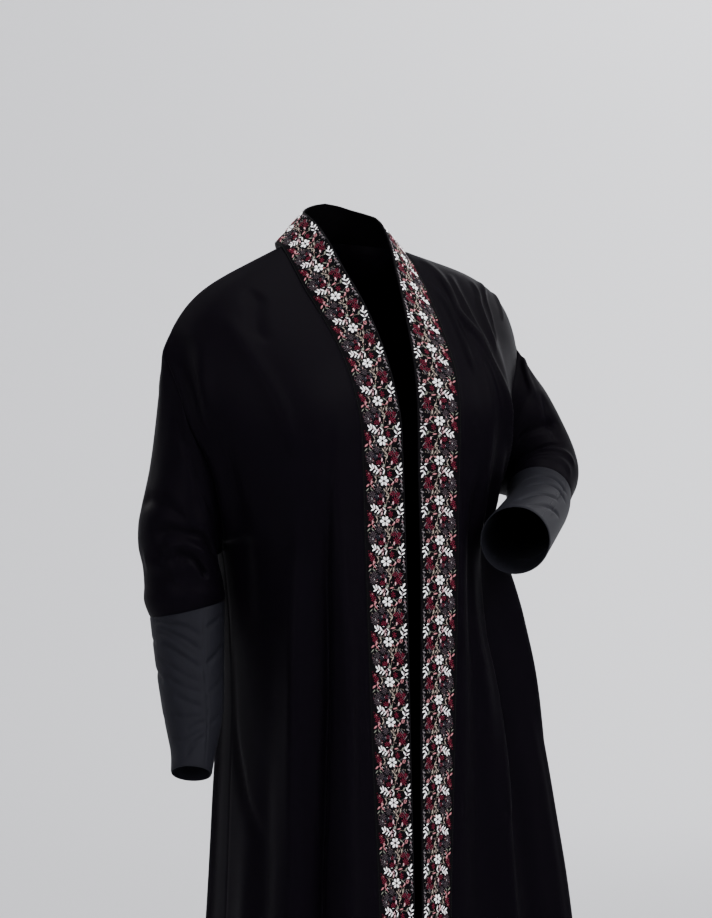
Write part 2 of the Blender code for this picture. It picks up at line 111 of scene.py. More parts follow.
ARMHOLE_ROWS = {
    "right": (
        (0.00, -0.2266, 0.000, 0.000, -0.118),
        (0.30, -0.2165, -0.037, 0.031, -0.192),
        (0.55, -0.1910, -0.044, 0.046, -0.250),
        (0.80, -0.1690, -0.028, 0.036, -0.308),
        (1.00, -0.1520, 0.003, 0.003, -0.340),
    ),
    "left": (
        (0.00, 0.2380, 0.005, 0.005, -0.110),
        (0.30, 0.1980, -0.041, 0.049, -0.160),
        (0.55, 0.1770, -0.051, 0.060, -0.210),
        (0.80, 0.1680, -0.037, 0.045, -0.262),
        (1.00, 0.1660, 0.004, 0.004, -0.310),
    ),
}
# Direction of the outside of each arm at its armhole.
ARM_OUTSIDE = {"right": (-1.0, 0.0, 0.0), "left": (0.20, -0.45, 0.88)}
# Each ring: centre x, y and z, half size outwards, half size to the front, slant.
SLEEVE_ROWS = {
    "right": (
        (-0.1990, 0.004, -0.294, 0.0385, 0.0500, 0.056),
        (-0.2035, 0.004, -0.344, 0.0460, 0.0490, 0.030),
        (-0.2000, 0.002, -0.371, 0.0420, 0.0450, 0.011),
        (-0.2000, 0.001, -0.387, 0.0445, 0.0460, 0.003),
        (-0.1968, 0.000, -0.402, 0.0422, 0.0422, 0.000),
    ),
    "left": (
        (0.2200, -0.003, -0.210, 0.0750, 0.0520, 0.010),
        (0.2360, -0.018, -0.236, 0.0590, 0.0450, 0.001),
        (0.2420, -0.043, -0.258, 0.0440, 0.0410, 0.000),
        (0.2210, -0.066, -0.278, 0.0390, 0.0365, 0.000),
    ),
}
CUFF_ROWS = {
    "right": (
        (-0.2044, -0.022, -0.465, 0.0372, 0.0372, 0.000),
        (-0.2107, -0.042, -0.517, 0.0322, 0.0322, 0.000),
        (-0.2190, -0.058, -0.552, 0.0245, 0.0255, 0.000),
        (-0.2262, -0.068, -0.576, 0.0220, 0.0230, 0.000),
    ),
    "left": (
        (0.2050, -0.089, -0.291, 0.0370, 0.0355, 0.000),
        (0.1710, -0.127, -0.304, 0.0370, 0.0355, 0.000),
        (0.1060, -0.194, -0.327, 0.0400, 0.0380, 0.000),
    ),
}

# ---- largest folds, as in the solids -----------------------------------------------
# Each fold: place at its top and at the hem (0 at the band or centre, 1 at the side),
# height of its top and of its end, half width, depth (positive for a ridge).
FRONT_FOLDS = {
    "right": (
        (0.30, 0.46, -0.26, -1.60, 0.022, -0.011),
        (0.16, 0.22, -0.30, -1.60, 0.020, 0.006),
        (0.50, 0.70, -0.34, -1.60, 0.024, 0.009),
        (0.88, 0.86, -0.08, -0.30, 0.016, -0.006),
    ),
    "left": (
        (0.10, 0.30, -0.01, -0.30, 0.014, 0.007),
        (0.24, 0.62, -0.02, -0.42, 0.016, 0.009),
        (0.38, 0.42, -0.18, -0.44, 0.030, -0.009),
        (0.30, 0.42, -0.30, -1.60, 0.026, -0.016),
        (0.62, 0.62, -0.28, -1.60, 0.018, 0.012),
        (0.74, 0.74, -0.34, -1.60, 0.018, -0.012),
    ),
}
BACK_FOLDS = {
    "right": (
        (0.16, 0.20, -0.24, -1.60, 0.024, -0.012),
        (0.40, 0.46, -0.20, -1.60, 0.024, 0.012),
        (0.62, 0.68, -0.26, -1.60, 0.024, -0.012),
    ),
    "left": (
        (0.22, 0.26, -0.20, -1.60, 0.026, 0.012),
        (0.44, 0.48, -0.22, -1.60, 0.024, -0.013),
        (0.66, 0.72, -0.24, -1.60, 0.024, 0.013),
    ),
}
FOLD_FADE = 0.14          # metres over which each end of a fold dies
SEAM_CALM = 0.10          # share of a panel's width over which folds die at its edges
CREASE_CALM = 0.05        # the same for creases
SHOULDER_CALM = 2         # rows over which the folds grow below the shoulder seam
CREASE_FADE = 0.2         # share of a crease's length over which each end dies
HEM_HOLD = 0.6            # how much of a crease that meets the hem is left there

# ---- creases, listed one by one ----------------------------------------------------
# Each crease: half width on its low side and on its high side, and depth, in millimetres,
# then the points of its path.  A panel's path is in shares of its width and heights.  A
# tube's path is in turns from its outside towards its front, and in shares of its length.
PANEL_SPAN = 0.24         # metres of cloth that a crease takes a panel's width to be
FRONT_CREASES = {
    "right": (
        (5, 10, -7, (.13, -.19), (.24, -.35), (.27, -.44), (.31, -.55), (.33, -.64), (.36, -.73),
         (.46, -1.4)),
        (12, 14, 6, (.38, -.24), (.47, -.39), (.50, -.55), (.50, -.73), (.56, -1.4)),
        (10, 10, 4, (.14, -.25), (.14, -.39), (.14, -.55), (.17, -.73), (.22, -1.4)),
        (6, 6, -1.8, (.05, -.43), (.06, -.52), (.08, -.61)),
        (5, 8, -3.5, (1.0, -.43), (.99, -.53), (.92, -.59), (.86, -.62), (.71, -.665)),
        (10, 14, 3.5, (.62, -.10), (.78, -.173), (.85, -.20), (.95, -.27), (.98, -.333)),
        (12, 12, -2.5, (.72, -.10), (.86, -.16), (.95, -.22)),
        (10, 10, -3, (.23, -.054), (.30, -.08), (.35, -.111)),
        (14, 14, 3, (.45, -.08), (.42, -.16), (.40, -.24)),
        (14, 16, -4, (.72, -.55), (.74, -.90), (.76, -1.4)),
        (14, 14, 3, (.87, -.60), (.88, -1.0), (.90, -1.4)),
    ),
    "left": (
        (4, 7, 5.5, (.05, -.007), (.09, -.02), (.11, -.045), (.11, -.077), (.19, -.105),
         (.26, -.138), (.35, -.174), (.42, -.208), (.58, -.25), (.72, -.275)),
        (4, 4, 3, (.01, -.038), (.06, -.055), (.08, -.087), (.10, -.131), (.14, -.146)),
        (4, 5, 4, (.19, -.027), (.17, -.045), (.19, -.078), (.23, -.107), (.28, -.123)),
        (4, 5, 3.5, (.32, -.033), (.32, -.053), (.30, -.067), (.31, -.097), (.33, -.122)),
        (4, 4, 3, (.42, -.032), (.38, -.058), (.39, -.081), (.36, -.112)),
        (4, 4, 2, (.50, -.045), (.53, -.06), (.55, -.08)),
        (10, 16, -9, (.20, -.24), (.15, -.30), (.12, -.39), (.10, -.53), (.10, -.74), (.14, -1.4)),
        (12, 5, 8, (.40, -.33), (.34, -.40), (.29, -.53), (.25, -.62), (.23, -.71), (.26, -1.4)),
        (10, 8, 4, (.52, -.45), (.54, -.70), (.56, -1.4)),
        (10, 12, -6, (.86, -.50), (.87, -.90), (.88, -1.4)),
    ),
}
BACK_CREASES = {
    "right": (
        (12, 12, 3, (.10, -.06), (.16, -.14), (.20, -.24)),
        (10, 8, -4, (.55, -.13), (.62, -.20), (.72, -.28)),
        (16, 16, -3, (.88, -.08), (.91, -.13), (.92, -.19), (.92, -.25)),
        (10, 14, -5, (.30, -.28), (.31, -.60), (.34, -1.4)),
        (12, 10, 5, (.52, -.32), (.54, -.80), (.58, -1.4)),
        (12, 12, 6, (.80, -.38), (.80, -.80), (.84, -1.4)),
    ),
    "left": (
        (14, 12, 3, (.14, -.08), (.20, -.17), (.22, -.27)),
        (8, 10, -4, (.50, -.12), (.60, -.18), (.74, -.25)),
        (12, 10, -5, (.10, -.30), (.10, -.70), (.12, -1.4)),
        (10, 12, -5, (.35, -.30), (.36, -.80), (.38, -1.4)),
        (10, 12, 5, (.56, -.36), (.58, -.90), (.62, -1.4)),
        (12, 12, -6, (.84, -.40), (.85, -.90), (.88, -1.4)),
    ),
}
SLEEVE_CREASES = {
    "right": (
        (5, 8, -6.5, (.06, .66), (.13, .615), (.20, .565), (.285, .475), (.36, .50)),
        (4, 6, -5.5, (.14, .72), (.188, .69), (.229, .69), (.264, .73), (.26, .80)),
        (6, 5, 3.5, (.10, .70), (.16, .655), (.23, .615), (.29, .60)),
        (12, 12, -2, (.167, .04), (.20, .256), (.243, .423)),
        (8, 8, -1.6, (.06, .14), (.153, .18), (.222, .231), (.32, .218)),
        (5, 6, 3, (-.02, .75), (.083, .77), (.16, .78)),
        (5, 5, -3, (-.04, .513), (.097, .513), (.19, .515)),
        (6, 7, -4, (-.32, .48), (-.20, .56), (-.08, .60)),
        (5, 5, -3, (-.35, .68), (-.22, .70), (-.10, .73)),
    ),
    "left": (
        (6, 6, 3, (0.0, .077), (.056, .218), (.083, .359)),
        (6, 5, -3, (.03, .38), (.062, .513), (.045, .70)),
        (5, 6, -4, (.21, .455), (.118, .526), (.02, .57)),
        (3, 4, 3, (.27, .88), (.16, .80), (.04, .79), (-.06, .84)),
        (3, 4, 2.2, (.24, .96), (.14, .89), (.02, .885), (-.06, .94)),
        (3, 4, -2.5, (.26, .83), (.15, .75), (.02, .735)),
        (6, 6, -4, (-.10, .40), (-.20, .50), (-.30, .52)),
        (5, 5, -3, (-.08, .66), (-.20, .70), (-.32, .72)),
    ),
}
CUFF_CREASES = {
    "right": (
        (2.5, 3.5, -2.2, (-.02, .01), (.146, .104), (.245, .215)),
        (2.5, 3.5, -2.4, (.03, .06), (.16, .208), (.245, .320)),
        (2.5, 3.5, -2.2, (.05, .20), (.167, .354), (.245, .425)),
        (2.5, 3, -1.6, (.09, .56), (.17, .62), (.240, .650)),
        (2.5, 3, -1.8, (.14, .79), (.20, .75), (.262, .725)),
        (2.5, 3, -2, (.13, .95), (.20, .86), (.270, .805)),
        (2.5, 3, -1.8, (.258, .150), (.30, .12), (.37, .075)),
        (2.5, 3, -2, (.265, .400), (.32, .33), (.39, .24)),
        (1.8, 2.4, -1.3, (.01, .02), (.10, .055), (.20, .13)),
        (1.8, 2.4, -1.4, (.00, .10), (.09, .17), (.17, .28), (.24, .36)),
        (1.8, 2.6, -1.5, (.01, .28), (.10, .40), (.18, .47), (.24, .50)),
        (1.8, 2.6, -1.4, (.04, .42), (.12, .50), (.19, .545), (.24, .56)),
        (1.8, 2.4, -1.3, (.05, .66), (.13, .70), (.20, .70), (.25, .69)),
        (1.8, 2.4, -1.3, (.03, .80), (.10, .84), (.18, .82), (.26, .77)),
        (1.8, 2.4, -1.3, (.27, .56), (.33, .50), (.40, .40)),
        (1.8, 2.4, -1.3, (.29, .74), (.35, .68), (.42, .60)),
        (3, 3.5, -1.6, (-.14, .30), (-.05, .38), (.03, .47)),
        (2, 2.6, -1.2, (-.12, .12), (-.06, .16), (.00, .19)),
        (3, 3.5, -1.6, (-.25, .55), (-.15, .62), (-.05, .66)),
        (3, 3.5, -1.6, (-.40, .30), (-.30, .38), (-.20, .40)),
        (1, 1, -1, (.25, .0), (.257, .48), (.30, 1.0)),
    ),
    "left": (
        (3, 4, -2.6, (.20, .26), (.09, .17), (.02, .167), (-.06, .21)),
        (3, 4, -2.2, (.15, .46), (.07, .34), (-.01, .31), (-.08, .34)),
        (3, 4, -2.2, (.14, .86), (.069, .604), (-.03, .45)),
        (3, 3.5, -1.8, (.08, .96), (.0, .75), (-.09, .61)),
        (3, 3.5, -1.8, (-.22, .30), (-.32, .42), (-.42, .48)),
        (3, 3.5, -1.6, (-.20, .62), (-.30, .72), (-.40, .74)),
        (1, 1, -1, (-.03, .0), (-.03, .50), (-.05, 1.0)),
    ),
}

# ---- embroidery chart: one repeat, millimetres -------------------------------------
# u runs from the middle of the band towards its seam and v along it.  Each row is a
# leaf or a short run of stem: its start u and v, its tip u and v, and its width.
REPEAT = 0.0436
FLOWER = {"petals": 6, "from": 1.3, "to": 5.6, "width": 3.2}
CHART = {
    "white": (
        (-13.6, 3.6, -17.2, 4.9, 1.8), (-17.2, 6.5, -21.6, 9.1, 1.6), (-16.8, 6.5, -13.8, 11.7, 1.8),
        (-17.9, 11.0, -21.8, 12.7, 1.8), (-18.2, 11.4, -15.6, 16.4, 1.9),
        (-17.5, 14.3, -20.7, 19.5, 2.1), (5.4, 11.7, 8.6, 7.5, 1.6), (8.4, 12.7, 11.6, 9.1, 1.6),
        (6.7, 11.7, 10.0, 17.2, 1.9), (11.2, 14.0, 15.6, 11.4, 1.8), (10.9, 13.7, 12.6, 19.2, 1.8),
        (13.0, 13.7, 15.8, 17.9, 1.8), (0.9, 6.8, -1.4, 12.0, 1.3), (-0.7, 12.0, 1.8, 14.6, 1.1),
    ),
    "cream": (
        (10.5, -2.3, 8.2, 1.6, 1.2), (8.2, 1.6, 10.3, 5.9, 1.2), (-2.5, 23.1, -5.3, 26.3, 1.3),
        (-5.3, 26.3, -1.4, 27.3, 1.0), (-3.9, -11.0, -5.3, -7.8, 1.2), (-1.4, -11.7, 0.7, -8.1, 1.2),
        (-4.2, -19.5, -5.3, -15.6, 1.2), (-4.9, -15.6, -1.8, -11.7, 1.0), (16.4, 7.8, 17.6, 8.9, 1.1),
        (-7.4, -11.7, -8.4, -6.5, 1.5),
    ),
    "sage": (
        (12.6, -10.7, 15.6, -7.7, 1.2), (20.4, -10.7, 17.2, -7.5, 1.2), (-10.0, -0.3, -6.0, 3.3, 1.4),
        (1.8, 14.6, -2.1, 18.2, 1.8), (-2.1, 15.6, 0.4, 18.5, 1.6), (-11.9, 13.0, -15.0, 15.9, 1.4),
        (4.6, 3.6, 5.9, 4.7, 1.2), (-11.6, 11.7, -14.4, 13.4, 1.0),
    ),
    "grey": (
        (-21.8, -10.0, -17.9, -8.1, 1.8), (-21.5, -6.8, -19.6, -2.0, 0.9),
        (-17.2, -4.5, -20.1, -2.0, 0.8), (-20.0, -2.0, -19.8, 2.6, 0.8),
        (-15.8, 24.0, -19.2, 28.6, 0.9), (-15.0, -13.0, -10.9, -7.5, 0.7),
    ),
    "salmon": (
        (11.8, -7.2, 14.5, -3.9, 1.8), (20.0, -6.0, 16.5, -2.9, 2.0), (15.2, -3.9, 13.1, 0.7, 2.2),
        (-2.8, 14.3, -8.1, 15.3, 1.8), (-11.6, -1.3, -8.1, -4.6, 1.8), (-15.0, -1.3, -12.6, 0.7, 1.3),
        (-12.6, 1.0, -14.7, 2.6, 1.3), (-15.8, 2.6, -15.4, -0.7, 1.3), (-6.0, -4.6, -3.2, -3.3, 1.3),
    ),
    "blush": (
        (4.0, 6.2, 2.9, 10.1, 1.6), (6.7, 9.4, 3.2, 13.0, 1.6), (-9.5, 17.2, -10.0, 21.8, 1.8),
        (1.6, 20.5, 1.1, 25.4, 1.9), (-9.8, -3.9, -10.9, -0.7, 1.5),
    ),
}
# Stems: thread, width, then the u and v of the points that they pass.
STEMS = (
    ("cream", 0.55, ((-0.5, 5.2), (-1.2, 10.0), (-0.7, 15.5), (-2.6, 20.0), (-3.7, 24.5),
                    (-5.2, 28.8), (-2.6, 32.6), (-3.2, 37.0), (-0.6, 40.4))),
    ("blush", 0.55, ((-0.7, 15.6), (2.4, 14.6), (5.0, 12.4), (9.6, 13.8), (12.6, 13.4))),
    ("grey", 0.55, ((-8.0, 1.3), (-11.0, 2.6), (-14.0, 4.2), (-16.4, 6.6), (-18.0, 10.8),
                   (-19.4, 14.2))),
    ("grey", 0.45, ((-16.2, -20.0), (-12.5, -13.5), (-9.4, -8.4))),
    ("cream", 0.5, ((-4.0, -15.5), (-7.6, -12.6), (-9.2, -8.5), (-9.8, -4.0))),
    ("cream", 0.5, ((-1.2, -16.8), (-3.2, -12.8), (-0.8, -10.0), (-2.6, -6.4))),
    ("taupe", 0.55, ((1.6, -16.0), (5.6, -13.0), (8.6, -9.0), (5.6, -5.4))),
    ("grey", 0.5, ((9.8, -6.2), (7.8, -1.0), (9.4, 3.4), (12.8, 8.4))),
    ("grey", 0.5, ((0.6, 21.6), (2.4, 26.6), (-0.4, 30.6), (2.6, 33.8))),
    ("cream", 0.5, ((-4.6, 11.0), (-7.4, 13.4), (-11.2, 12.4), (-13.4, 15.8))),
    ("sage", 0.5, ((4.4, 9.8), (5.2, 6.2), (8.4, 5.2), (10.2, 8.8))),
    ("taupe", 0.55, ((9.6, 20.2), (13.6, 21.6), (17.4, 26.8), (14.0, 32.4), (10.8, 29.0))),
    ("taupe", 0.55, ((14.0, 26.0), (16.6, 23.6), (19.6, 27.0), (18.2, 31.4))),
    ("cream", 0.5, ((-5.4, -8.6), (-6.8, -5.4), (-4.4, -2.2))),
    ("salmon", 0.5, ((-15.2, -0.8), (-13.2, -2.0), (-12.2, 0.4), (-14.2, 1.8))),
    ("salmon", 0.55, ((15.4, -3.6), (14.0, -0.6), (14.6, 2.2))),
    ("grey", 0.45, ((-21.6, -12.2), (-19.8, -6.4), (-20.4, -1.4), (-17.8, 2.0))),
)
# Roses: thread, u and v of the middle, radius across and along, petals of the outer ring.
ROSES = (
    ("burgundy", -12.8, 22.4, 4.4, 4.4, 8),
    ("burgundy", -9.6, 29.6, 4.0, 3.2, 7),
    ("burgundy", -15.6, 28.6, 2.8, 3.2, 6),
    ("burgundy", -6.8, 7.2, 2.8, 3.6, 6),
    ("burgundy", 5.0, 20.0, 3.6, 3.2, 7),
    ("burgundy", 15.6, 2.8, 3.2, 3.4, 7),
    ("burgundy", 17.2, 7.6, 2.8, 2.8, 6),
    ("burgundy", 4.0, 27.6, 2.6, 2.6, 5),
    ("taupe", 15.2, 22.6, 4.2, 4.0, 8),
    ("taupe", 13.4, 29.2, 4.0, 4.2, 8),
    ("taupe", 6.4, -9.4, 4.0, 3.8, 8),
    ("slate", 1.6, -15.6, 3.0, 2.6, 6),
    ("slate", 8.6, 26.4, 3.0, 3.0, 6),
)
# Flecks of thread worked between the motifs: thread and how many in a repeat.
FLECKS = (("cream", 22), ("grey", 18), ("blush", 12), ("burgundy", 16), ("white", 8))
FLECK_EDGE = (-21.0, 20.0)   # flecks lie between these, across the band
FLECK_LENGTH = (1.2, 2.4)
FLECK_WIDTH = 0.55
STEM_STEPS = 6            # steps between the given points of a stem
STEM_STITCH = 2.0         # from one stem stitch to the next, millimetres
STEM_FILL = 0.8           # share of that step which a stitch covers
ROSE_PETAL = 0.95         # width of a rose petal, millimetres
ROSE_RINGS = ((0.42, 1.0), (0.05, 0.5))   # each ring's petals start and end at these shares
ROSE_SLANT = 0.5          # turn from a petal's start to its tip, in radians
# The first flower stands this far above the hem, and the chart runs this way up the band.
FLOWER_START = {"right": 0.0052, "left": 0.0272}
CHART_UP = {"right": 1.0, "left": -1.0}
CHART_SPREAD = 1.05       # the chart is drawn out this much across the band
HEM_REST = 0.003          # the repeats start this far above the hem
NECK_REST = 0.001         # and stop this far from the centre back seam
LEAF_HEIGHT = 0.00075     # height of a leaf above the ground, for a leaf 2 mm wide
WIDEST_RAISED = 1.2       # leaves wider than 2.4 mm are no higher than this many times that
# Half widths of a worked leaf, evenly from its start to its tip, for a leaf of unit width.
OUTLINES = {
    "leaf": (0.06, 0.36, 0.50, 0.42, 0.06),
    "petal": (0.12, 0.32, 0.48, 0.50, 0.20),
    "stem stitch": (0.22, 0.50, 0.22),
    "edge stitch": (0.30, 0.50, 0.30),
}
LEAF_ROOT = -0.15         # depth of a leaf's edge under the ground, for unit height
LEAF_SHOULDER = (0.55, 0.8)   # place and height of its shoulder, between its edge and its crown
EDGE_PITCH = 1.2          # from one edge stitch to the next, in stitch lengths
EDGE_PLACE = 0.0238       # rows of edge stitches lie this far from the middle of the band
EDGE_STITCH = (0.0005, 0.0003)   # width and height of an edge stitch
EDGE_UNEVEN = 0.05
EDGE_SEED = 40

# ---- colours, as sRGB --------------------------------------------------------------
THREADS = {
    "white": "#FFFDFF",
    "cream": "#978B80",
    "sage": "#74796E",
    "grey": "#6C666A",
    "salmon": "#A86A70",
    "blush": "#D0A4AA",
    "burgundy": "#620624",
    "taupe": "#3C3238",
    "slate": "#20202A",
}
# Cloth of each slot: name, colour, roughness, gloss, sheen.
CLOTHS = {
    # Woven from hard-twisted yarn and dyed in the piece: deep black, a low sheen on its folds.
    "black_crepe": ("black crepe", "#060408", 0.50, 0.018, 0.002),
    # Fine knit that is stretched on the forearm: matt, with faint ribs along the arm.
    "charcoal_jersey": ("charcoal jersey", "#15151A", 0.55, 0.04, 0.004),
    # Crepe on a stiff backing, pressed down by the embroidery: duller than the loose cloth.
    "embroidered_band": ("black band ground", "#070608", 0.7, 0.02, 0.002),
}
SHEEN_ROUGHNESS = 0.5
RELIEF_STRENGTH = 0.5
CREPE_PEBBLE = 0.0007     # width of a pebble of the crepe
CREPE_DETAIL = 2.0
CREPE_RELIEF = 0.00012
KNIT_WALE = 0.0018        # from one column of loops to the next
KNIT_WANDER = 0.4
KNIT_RELIEF = 0.00015
WAVE_STEP = 0.31          # step between the wave texture's bands at a scale of one
# Twisted embroidery thread catches the light as a soft satin: roughness and gloss.
SATIN_THREAD = (0.5, 0.12)
# Spun sewing thread and brushed wall paint are matt: colour, roughness, gloss.
SEWING_THREAD = ("#08080A", 0.6, 0.12)
STUDIO_PAINT = ("#DEDEE1", 0.9, 0.1)

SEAM_DIP = 0.0006         # how far cloth rolls inwards at its seams and hems
SHARP_ANGLE = math.radians(50)


# ---- form ----------------------------------------------------------------------------
def named(columns, rows):
    """Turn table rows into one array for each column name."""
    return dict(zip(columns, np.array(rows, dtype=float).T))


def smooth_at(xs, ys, x):
    """Monotone-safe smooth curve through (xs, ys), xs rising, read at x."""
    x = min(max(float(x), xs[0]), xs[-1])
    slopes = np.diff(ys) / np.diff(xs)
    tangents = np.empty_like(ys)
    tangents[0], tangents[-1] = slopes[0], slopes[-1]
    for i in range(1, len(xs) - 1):
        before, after = slopes[i - 1], slopes[i]
        steady = before * after > 0
        tangents[i] = 2 * before * after / (before + after) if steady else 0.0
    i = int(min(np.searchsorted(xs, x, side="right") - 1, len(xs) - 2))
    width = xs[i + 1] - xs[i]
    t = (x - xs[i]) / width
    return ((2 * t**3 - 3 * t**2 + 1) * ys[i] + (t**3 - 2 * t**2 + t) * width * tangents[i]
            + (3 * t**2 - 2 * t**3) * ys[i + 1] + (t**3 - t**2) * width * tangents[i + 1])


def unit(vector):
    return vector / max(float(np.linalg.norm(vector)), TINY)


EDGE = named(EDGE_COLUMNS, EDGE_ROWS[::-1])
GIRTH = named(GIRTH_COLUMNS, GIRTH_ROWS[::-1])
ARMHOLE = {side: named(ARMHOLE_COLUMNS, rows) for side, rows in ARMHOLE_ROWS.items()}
UNDERARM_Z = {side: rows[-1][-1] for side, rows in ARMHOLE_ROWS.items()}


def table_at(table, name, z):
    """Column of a table at height z."""
    return smooth_at(table["z"], table[name], z)


def edge_point(side, z):
    x = SIDES[side] * table_at(EDGE, "x_" + side, z)
    return np.array((x, table_at(EDGE, "y_" + side, z), z))


def edge_inward(side, z):
    """Unit step from the band seam across the band to its free edge."""
    back = table_at(EDGE, "in_y_" + side, z)
    up = table_at(EDGE, "in_z", z)
    across = math.sqrt(max(1.0 - back * back - up * up, 0.0))
    return np.array((-SIDES[side] * across, back, up))


def armhole_point(side, fall, front):
    hole = ARMHOLE[side]
    y_column = "front_y" if front else "back_y"
    return np.array([smooth_at(hole["fall"], hole[name], fall) for name in ("x", y_column, "z")])


def side_point(side, z):
    return np.array((SIDES[side] * table_at(GIRTH, side, z), table_at(GIRTH, "seam_y", z), z))


def shoulder_point(side, share):
    """Shoulder seam, from the neck point (0) to the dropped shoulder point (1)."""
    tip = armhole_point(side, 0.0, True)
    out = math.sin(share * math.pi / 2)
    x = SIDES[side] * NECK_HALF + (tip[0] - SIDES[side] * NECK_HALF) * out
    straight = SHOULDER_STRAIGHT[side]
    fall = straight * out + (1 - straight) * out**SHOULDER_TURN
    return np.array((x, tip[1] * out, tip[2] * fall))


def quarter(start, end, share, squareness):
    """Plan point on a rounded quarter turn that leaves start along X and meets end along Y."""
    turn = share * math.pi / 2
    across = math.sin(turn) ** (2 / squareness)
    along = max(math.cos(turn), 0.0) ** (2 / squareness)
    return np.array((start[0] + (end[0] - start[0]) * across, end[1] + (start[1] - end[1]) * along))


def upper_height(side, front, top_z, low, share, fall):
    """Height of a point above the underarm; rows bend to meet the armhole at share 1."""
    down = fall**ROW_EASE
    outer_z, tip_z = (armhole_point(side, at, front)[2] for at in (fall, 0.0))
    bend = share**2 * (outer_z - (tip_z + (UNDERARM_Z[side] - tip_z) * down))
    return top_z + (low - top_z) * down + bend


def lower_height(low, row):
    return low + (-LENGTH - low) * (row - UPPER_ROWS) / LOWER_ROWS


def front_point(side, share, row):
    """Point of a front, share 0 at the band seam and 1 at the armhole or side seam."""
    low = UNDERARM_Z[side]
    top = shoulder_point(side, share)
    if row == 0:
        return top
    if row <= UPPER_ROWS:
        fall = row / UPPER_ROWS
        edge_z = low * fall**ROW_EASE
        z = upper_height(side, True, top[2], low, share, fall)
        outer = armhole_point(side, fall, True)
        plan = quarter(edge_point(side, edge_z), outer, share,
                       table_at(GIRTH, "square_" + side, edge_z))
        swell = fall / SHOULDER_FULL * math.exp(1 - fall / SHOULDER_FULL)
        plan[1] -= SHOULDER_ROUND * math.sin(math.pi * share) * swell
    else:
        z = lower_height(low, row)
        plan = quarter(edge_point(side, z), side_point(side, z), share,
                       table_at(GIRTH, "square_" + side, z))
    return np.array((plan[0], plan[1], z))


def back_top_point(side, column):
    """Top line of the back: half the neck seam, then the shoulder seam."""
    if column <= NECK_COLUMNS:
        turn = column / NECK_COLUMNS * math.pi / 2
        x = SIDES[side] * NECK_HALF * math.sin(turn)
        return np.array((x, NECK_BACK * math.cos(turn), NECK_RISE * math.cos(turn)))
    return shoulder_point(side, (column - NECK_COLUMNS) / PANEL_COLUMNS)


def back_point(side, column, row):
    """Point of one half of the back, column 0 at the centre and the last one at the side."""
    share = column / (NECK_COLUMNS + PANEL_COLUMNS)
    own, other = UNDERARM_Z[side], UNDERARM_Z["left" if side == "right" else "right"]
    low = 0.5 * (own + other) + 0.5 * share * (own - other)
    if row <= UPPER_ROWS:
        fall = row / UPPER_ROWS
        top = back_top_point(side, column)
        z = upper_height(side, False, top[2], low, share, fall)
        squareness = YOKE_SQUARE + (BACK_SQUARE - YOKE_SQUARE) * fall
        plan = quarter((0.0, table_at(GIRTH, "back", z)), armhole_point(side, fall, False),
                       share, squareness)
        reach = YOKE_REACH * (1.0 - share**3) + YOKE_LEAST
        settled = 1.0 - (1.0 - min(fall / reach, 1.0)) ** 2
        plan = top[:2] + (plan - top[:2]) * settled
    else:
        z = lower_height(low, row)
        plan = quarter((0.0, table_at(GIRTH, "back", z)), side_point(side, z), share, BACK_SQUARE)
    return np.array((plan[0], plan[1], z))


def smooth_rings(rings, count):
    """Cubic rings through the given rings, count of them, evenly by mean distance."""
    rings = np.array(rings)
    reach = run_along(rings)
    at = np.linspace(0.0, reach[-1], count)
    i = np.minimum(np.searchsorted(reach, at, side="right") - 1, len(rings) - 2)
    return cubic_between(rings, i, (at - reach[i]) / np.diff(reach)[i])


def arm_rings(side, rows, first_out, before):
    """Rings across an arm.  Their outside direction is carried along the arm from first_out."""
    table = np.array(rows)
    centres = table[:, :3]
    path = np.concatenate((np.array(before)[None], centres))
    out = np.array(first_out, dtype=float)
    turns = np.linspace(0.0, 2 * math.pi, 2 * UPPER_ROWS, endpoint=False)
    rings = []
    for i, (row, centre) in enumerate(zip(table, centres)):
        along = unit(path[min(i + 2, len(path) - 1)] - path[i])
        out = unit(out - along * np.dot(out, along))
        front = np.cross(along, out) * SIDES[side]
        half_out, half_front, slant = row[3:]
        rings.append([centre + out * half_out * math.cos(a) + front * half_front * math.sin(a)
                      - along * slant * math.cos(a) for a in turns])
    return rings, out, centres[-1]


def arm_grids(side):
    """Sleeve and cuff of one arm, ring by ring from the armhole to the wrist."""
    down = [armhole_point(side, r / UPPER_ROWS, True) for r in range(UPPER_ROWS + 1)]
    up = [armhole_point(side, r / UPPER_ROWS, False) for r in range(UPPER_ROWS - 1, 0, -1)]
    start = down + up
    rings, out, elbow = arm_rings(side, SLEEVE_ROWS[side], ARM_OUTSIDE[side],
                                  np.mean(start, axis=0))
    sleeve = smooth_rings([start] + rings, SLEEVE_RINGS)
    lower, _, _ = arm_rings(side, CUFF_ROWS[side], out, elbow)
    cuff = smooth_rings([rings[-1]] + lower, CUFF_RINGS)
    if side == "right":
        sleeve = np.concatenate((sleeve[:, :1], sleeve[:, :0:-1]), axis=1)
        cuff = np.concatenate((cuff[:, :1], cuff[:, :0:-1]), axis=1)
    return sleeve, cuff


def band_lines(side):
    """Seam line of a band from the hem to the centre back, and the step to its free edge."""
    rows = range(UPPER_ROWS + LOWER_ROWS, -1, -1)
    seam = [front_point(side, 0.0, row) for row in rows]
    steps = [edge_inward(side, min(point[2], 0.0)) for point in seam]
    for column in range(NECK_COLUMNS - 1, -1, -1):
        point = back_top_point(side, column)
        turn = column / NECK_COLUMNS
        flat = unit(np.array((-point[0], -point[1] * (1.0 - turn) - BAND_LEAN * turn, 0.0)))
        up = BAND_RISE[0] + (BAND_RISE[1] - BAND_RISE[0]) * turn
        seam.append(point)
        steps.append(flat * math.sqrt(1.0 - up * up) + np.array((0.0, 0.0, up)))
    return np.array(seam), np.array(steps)


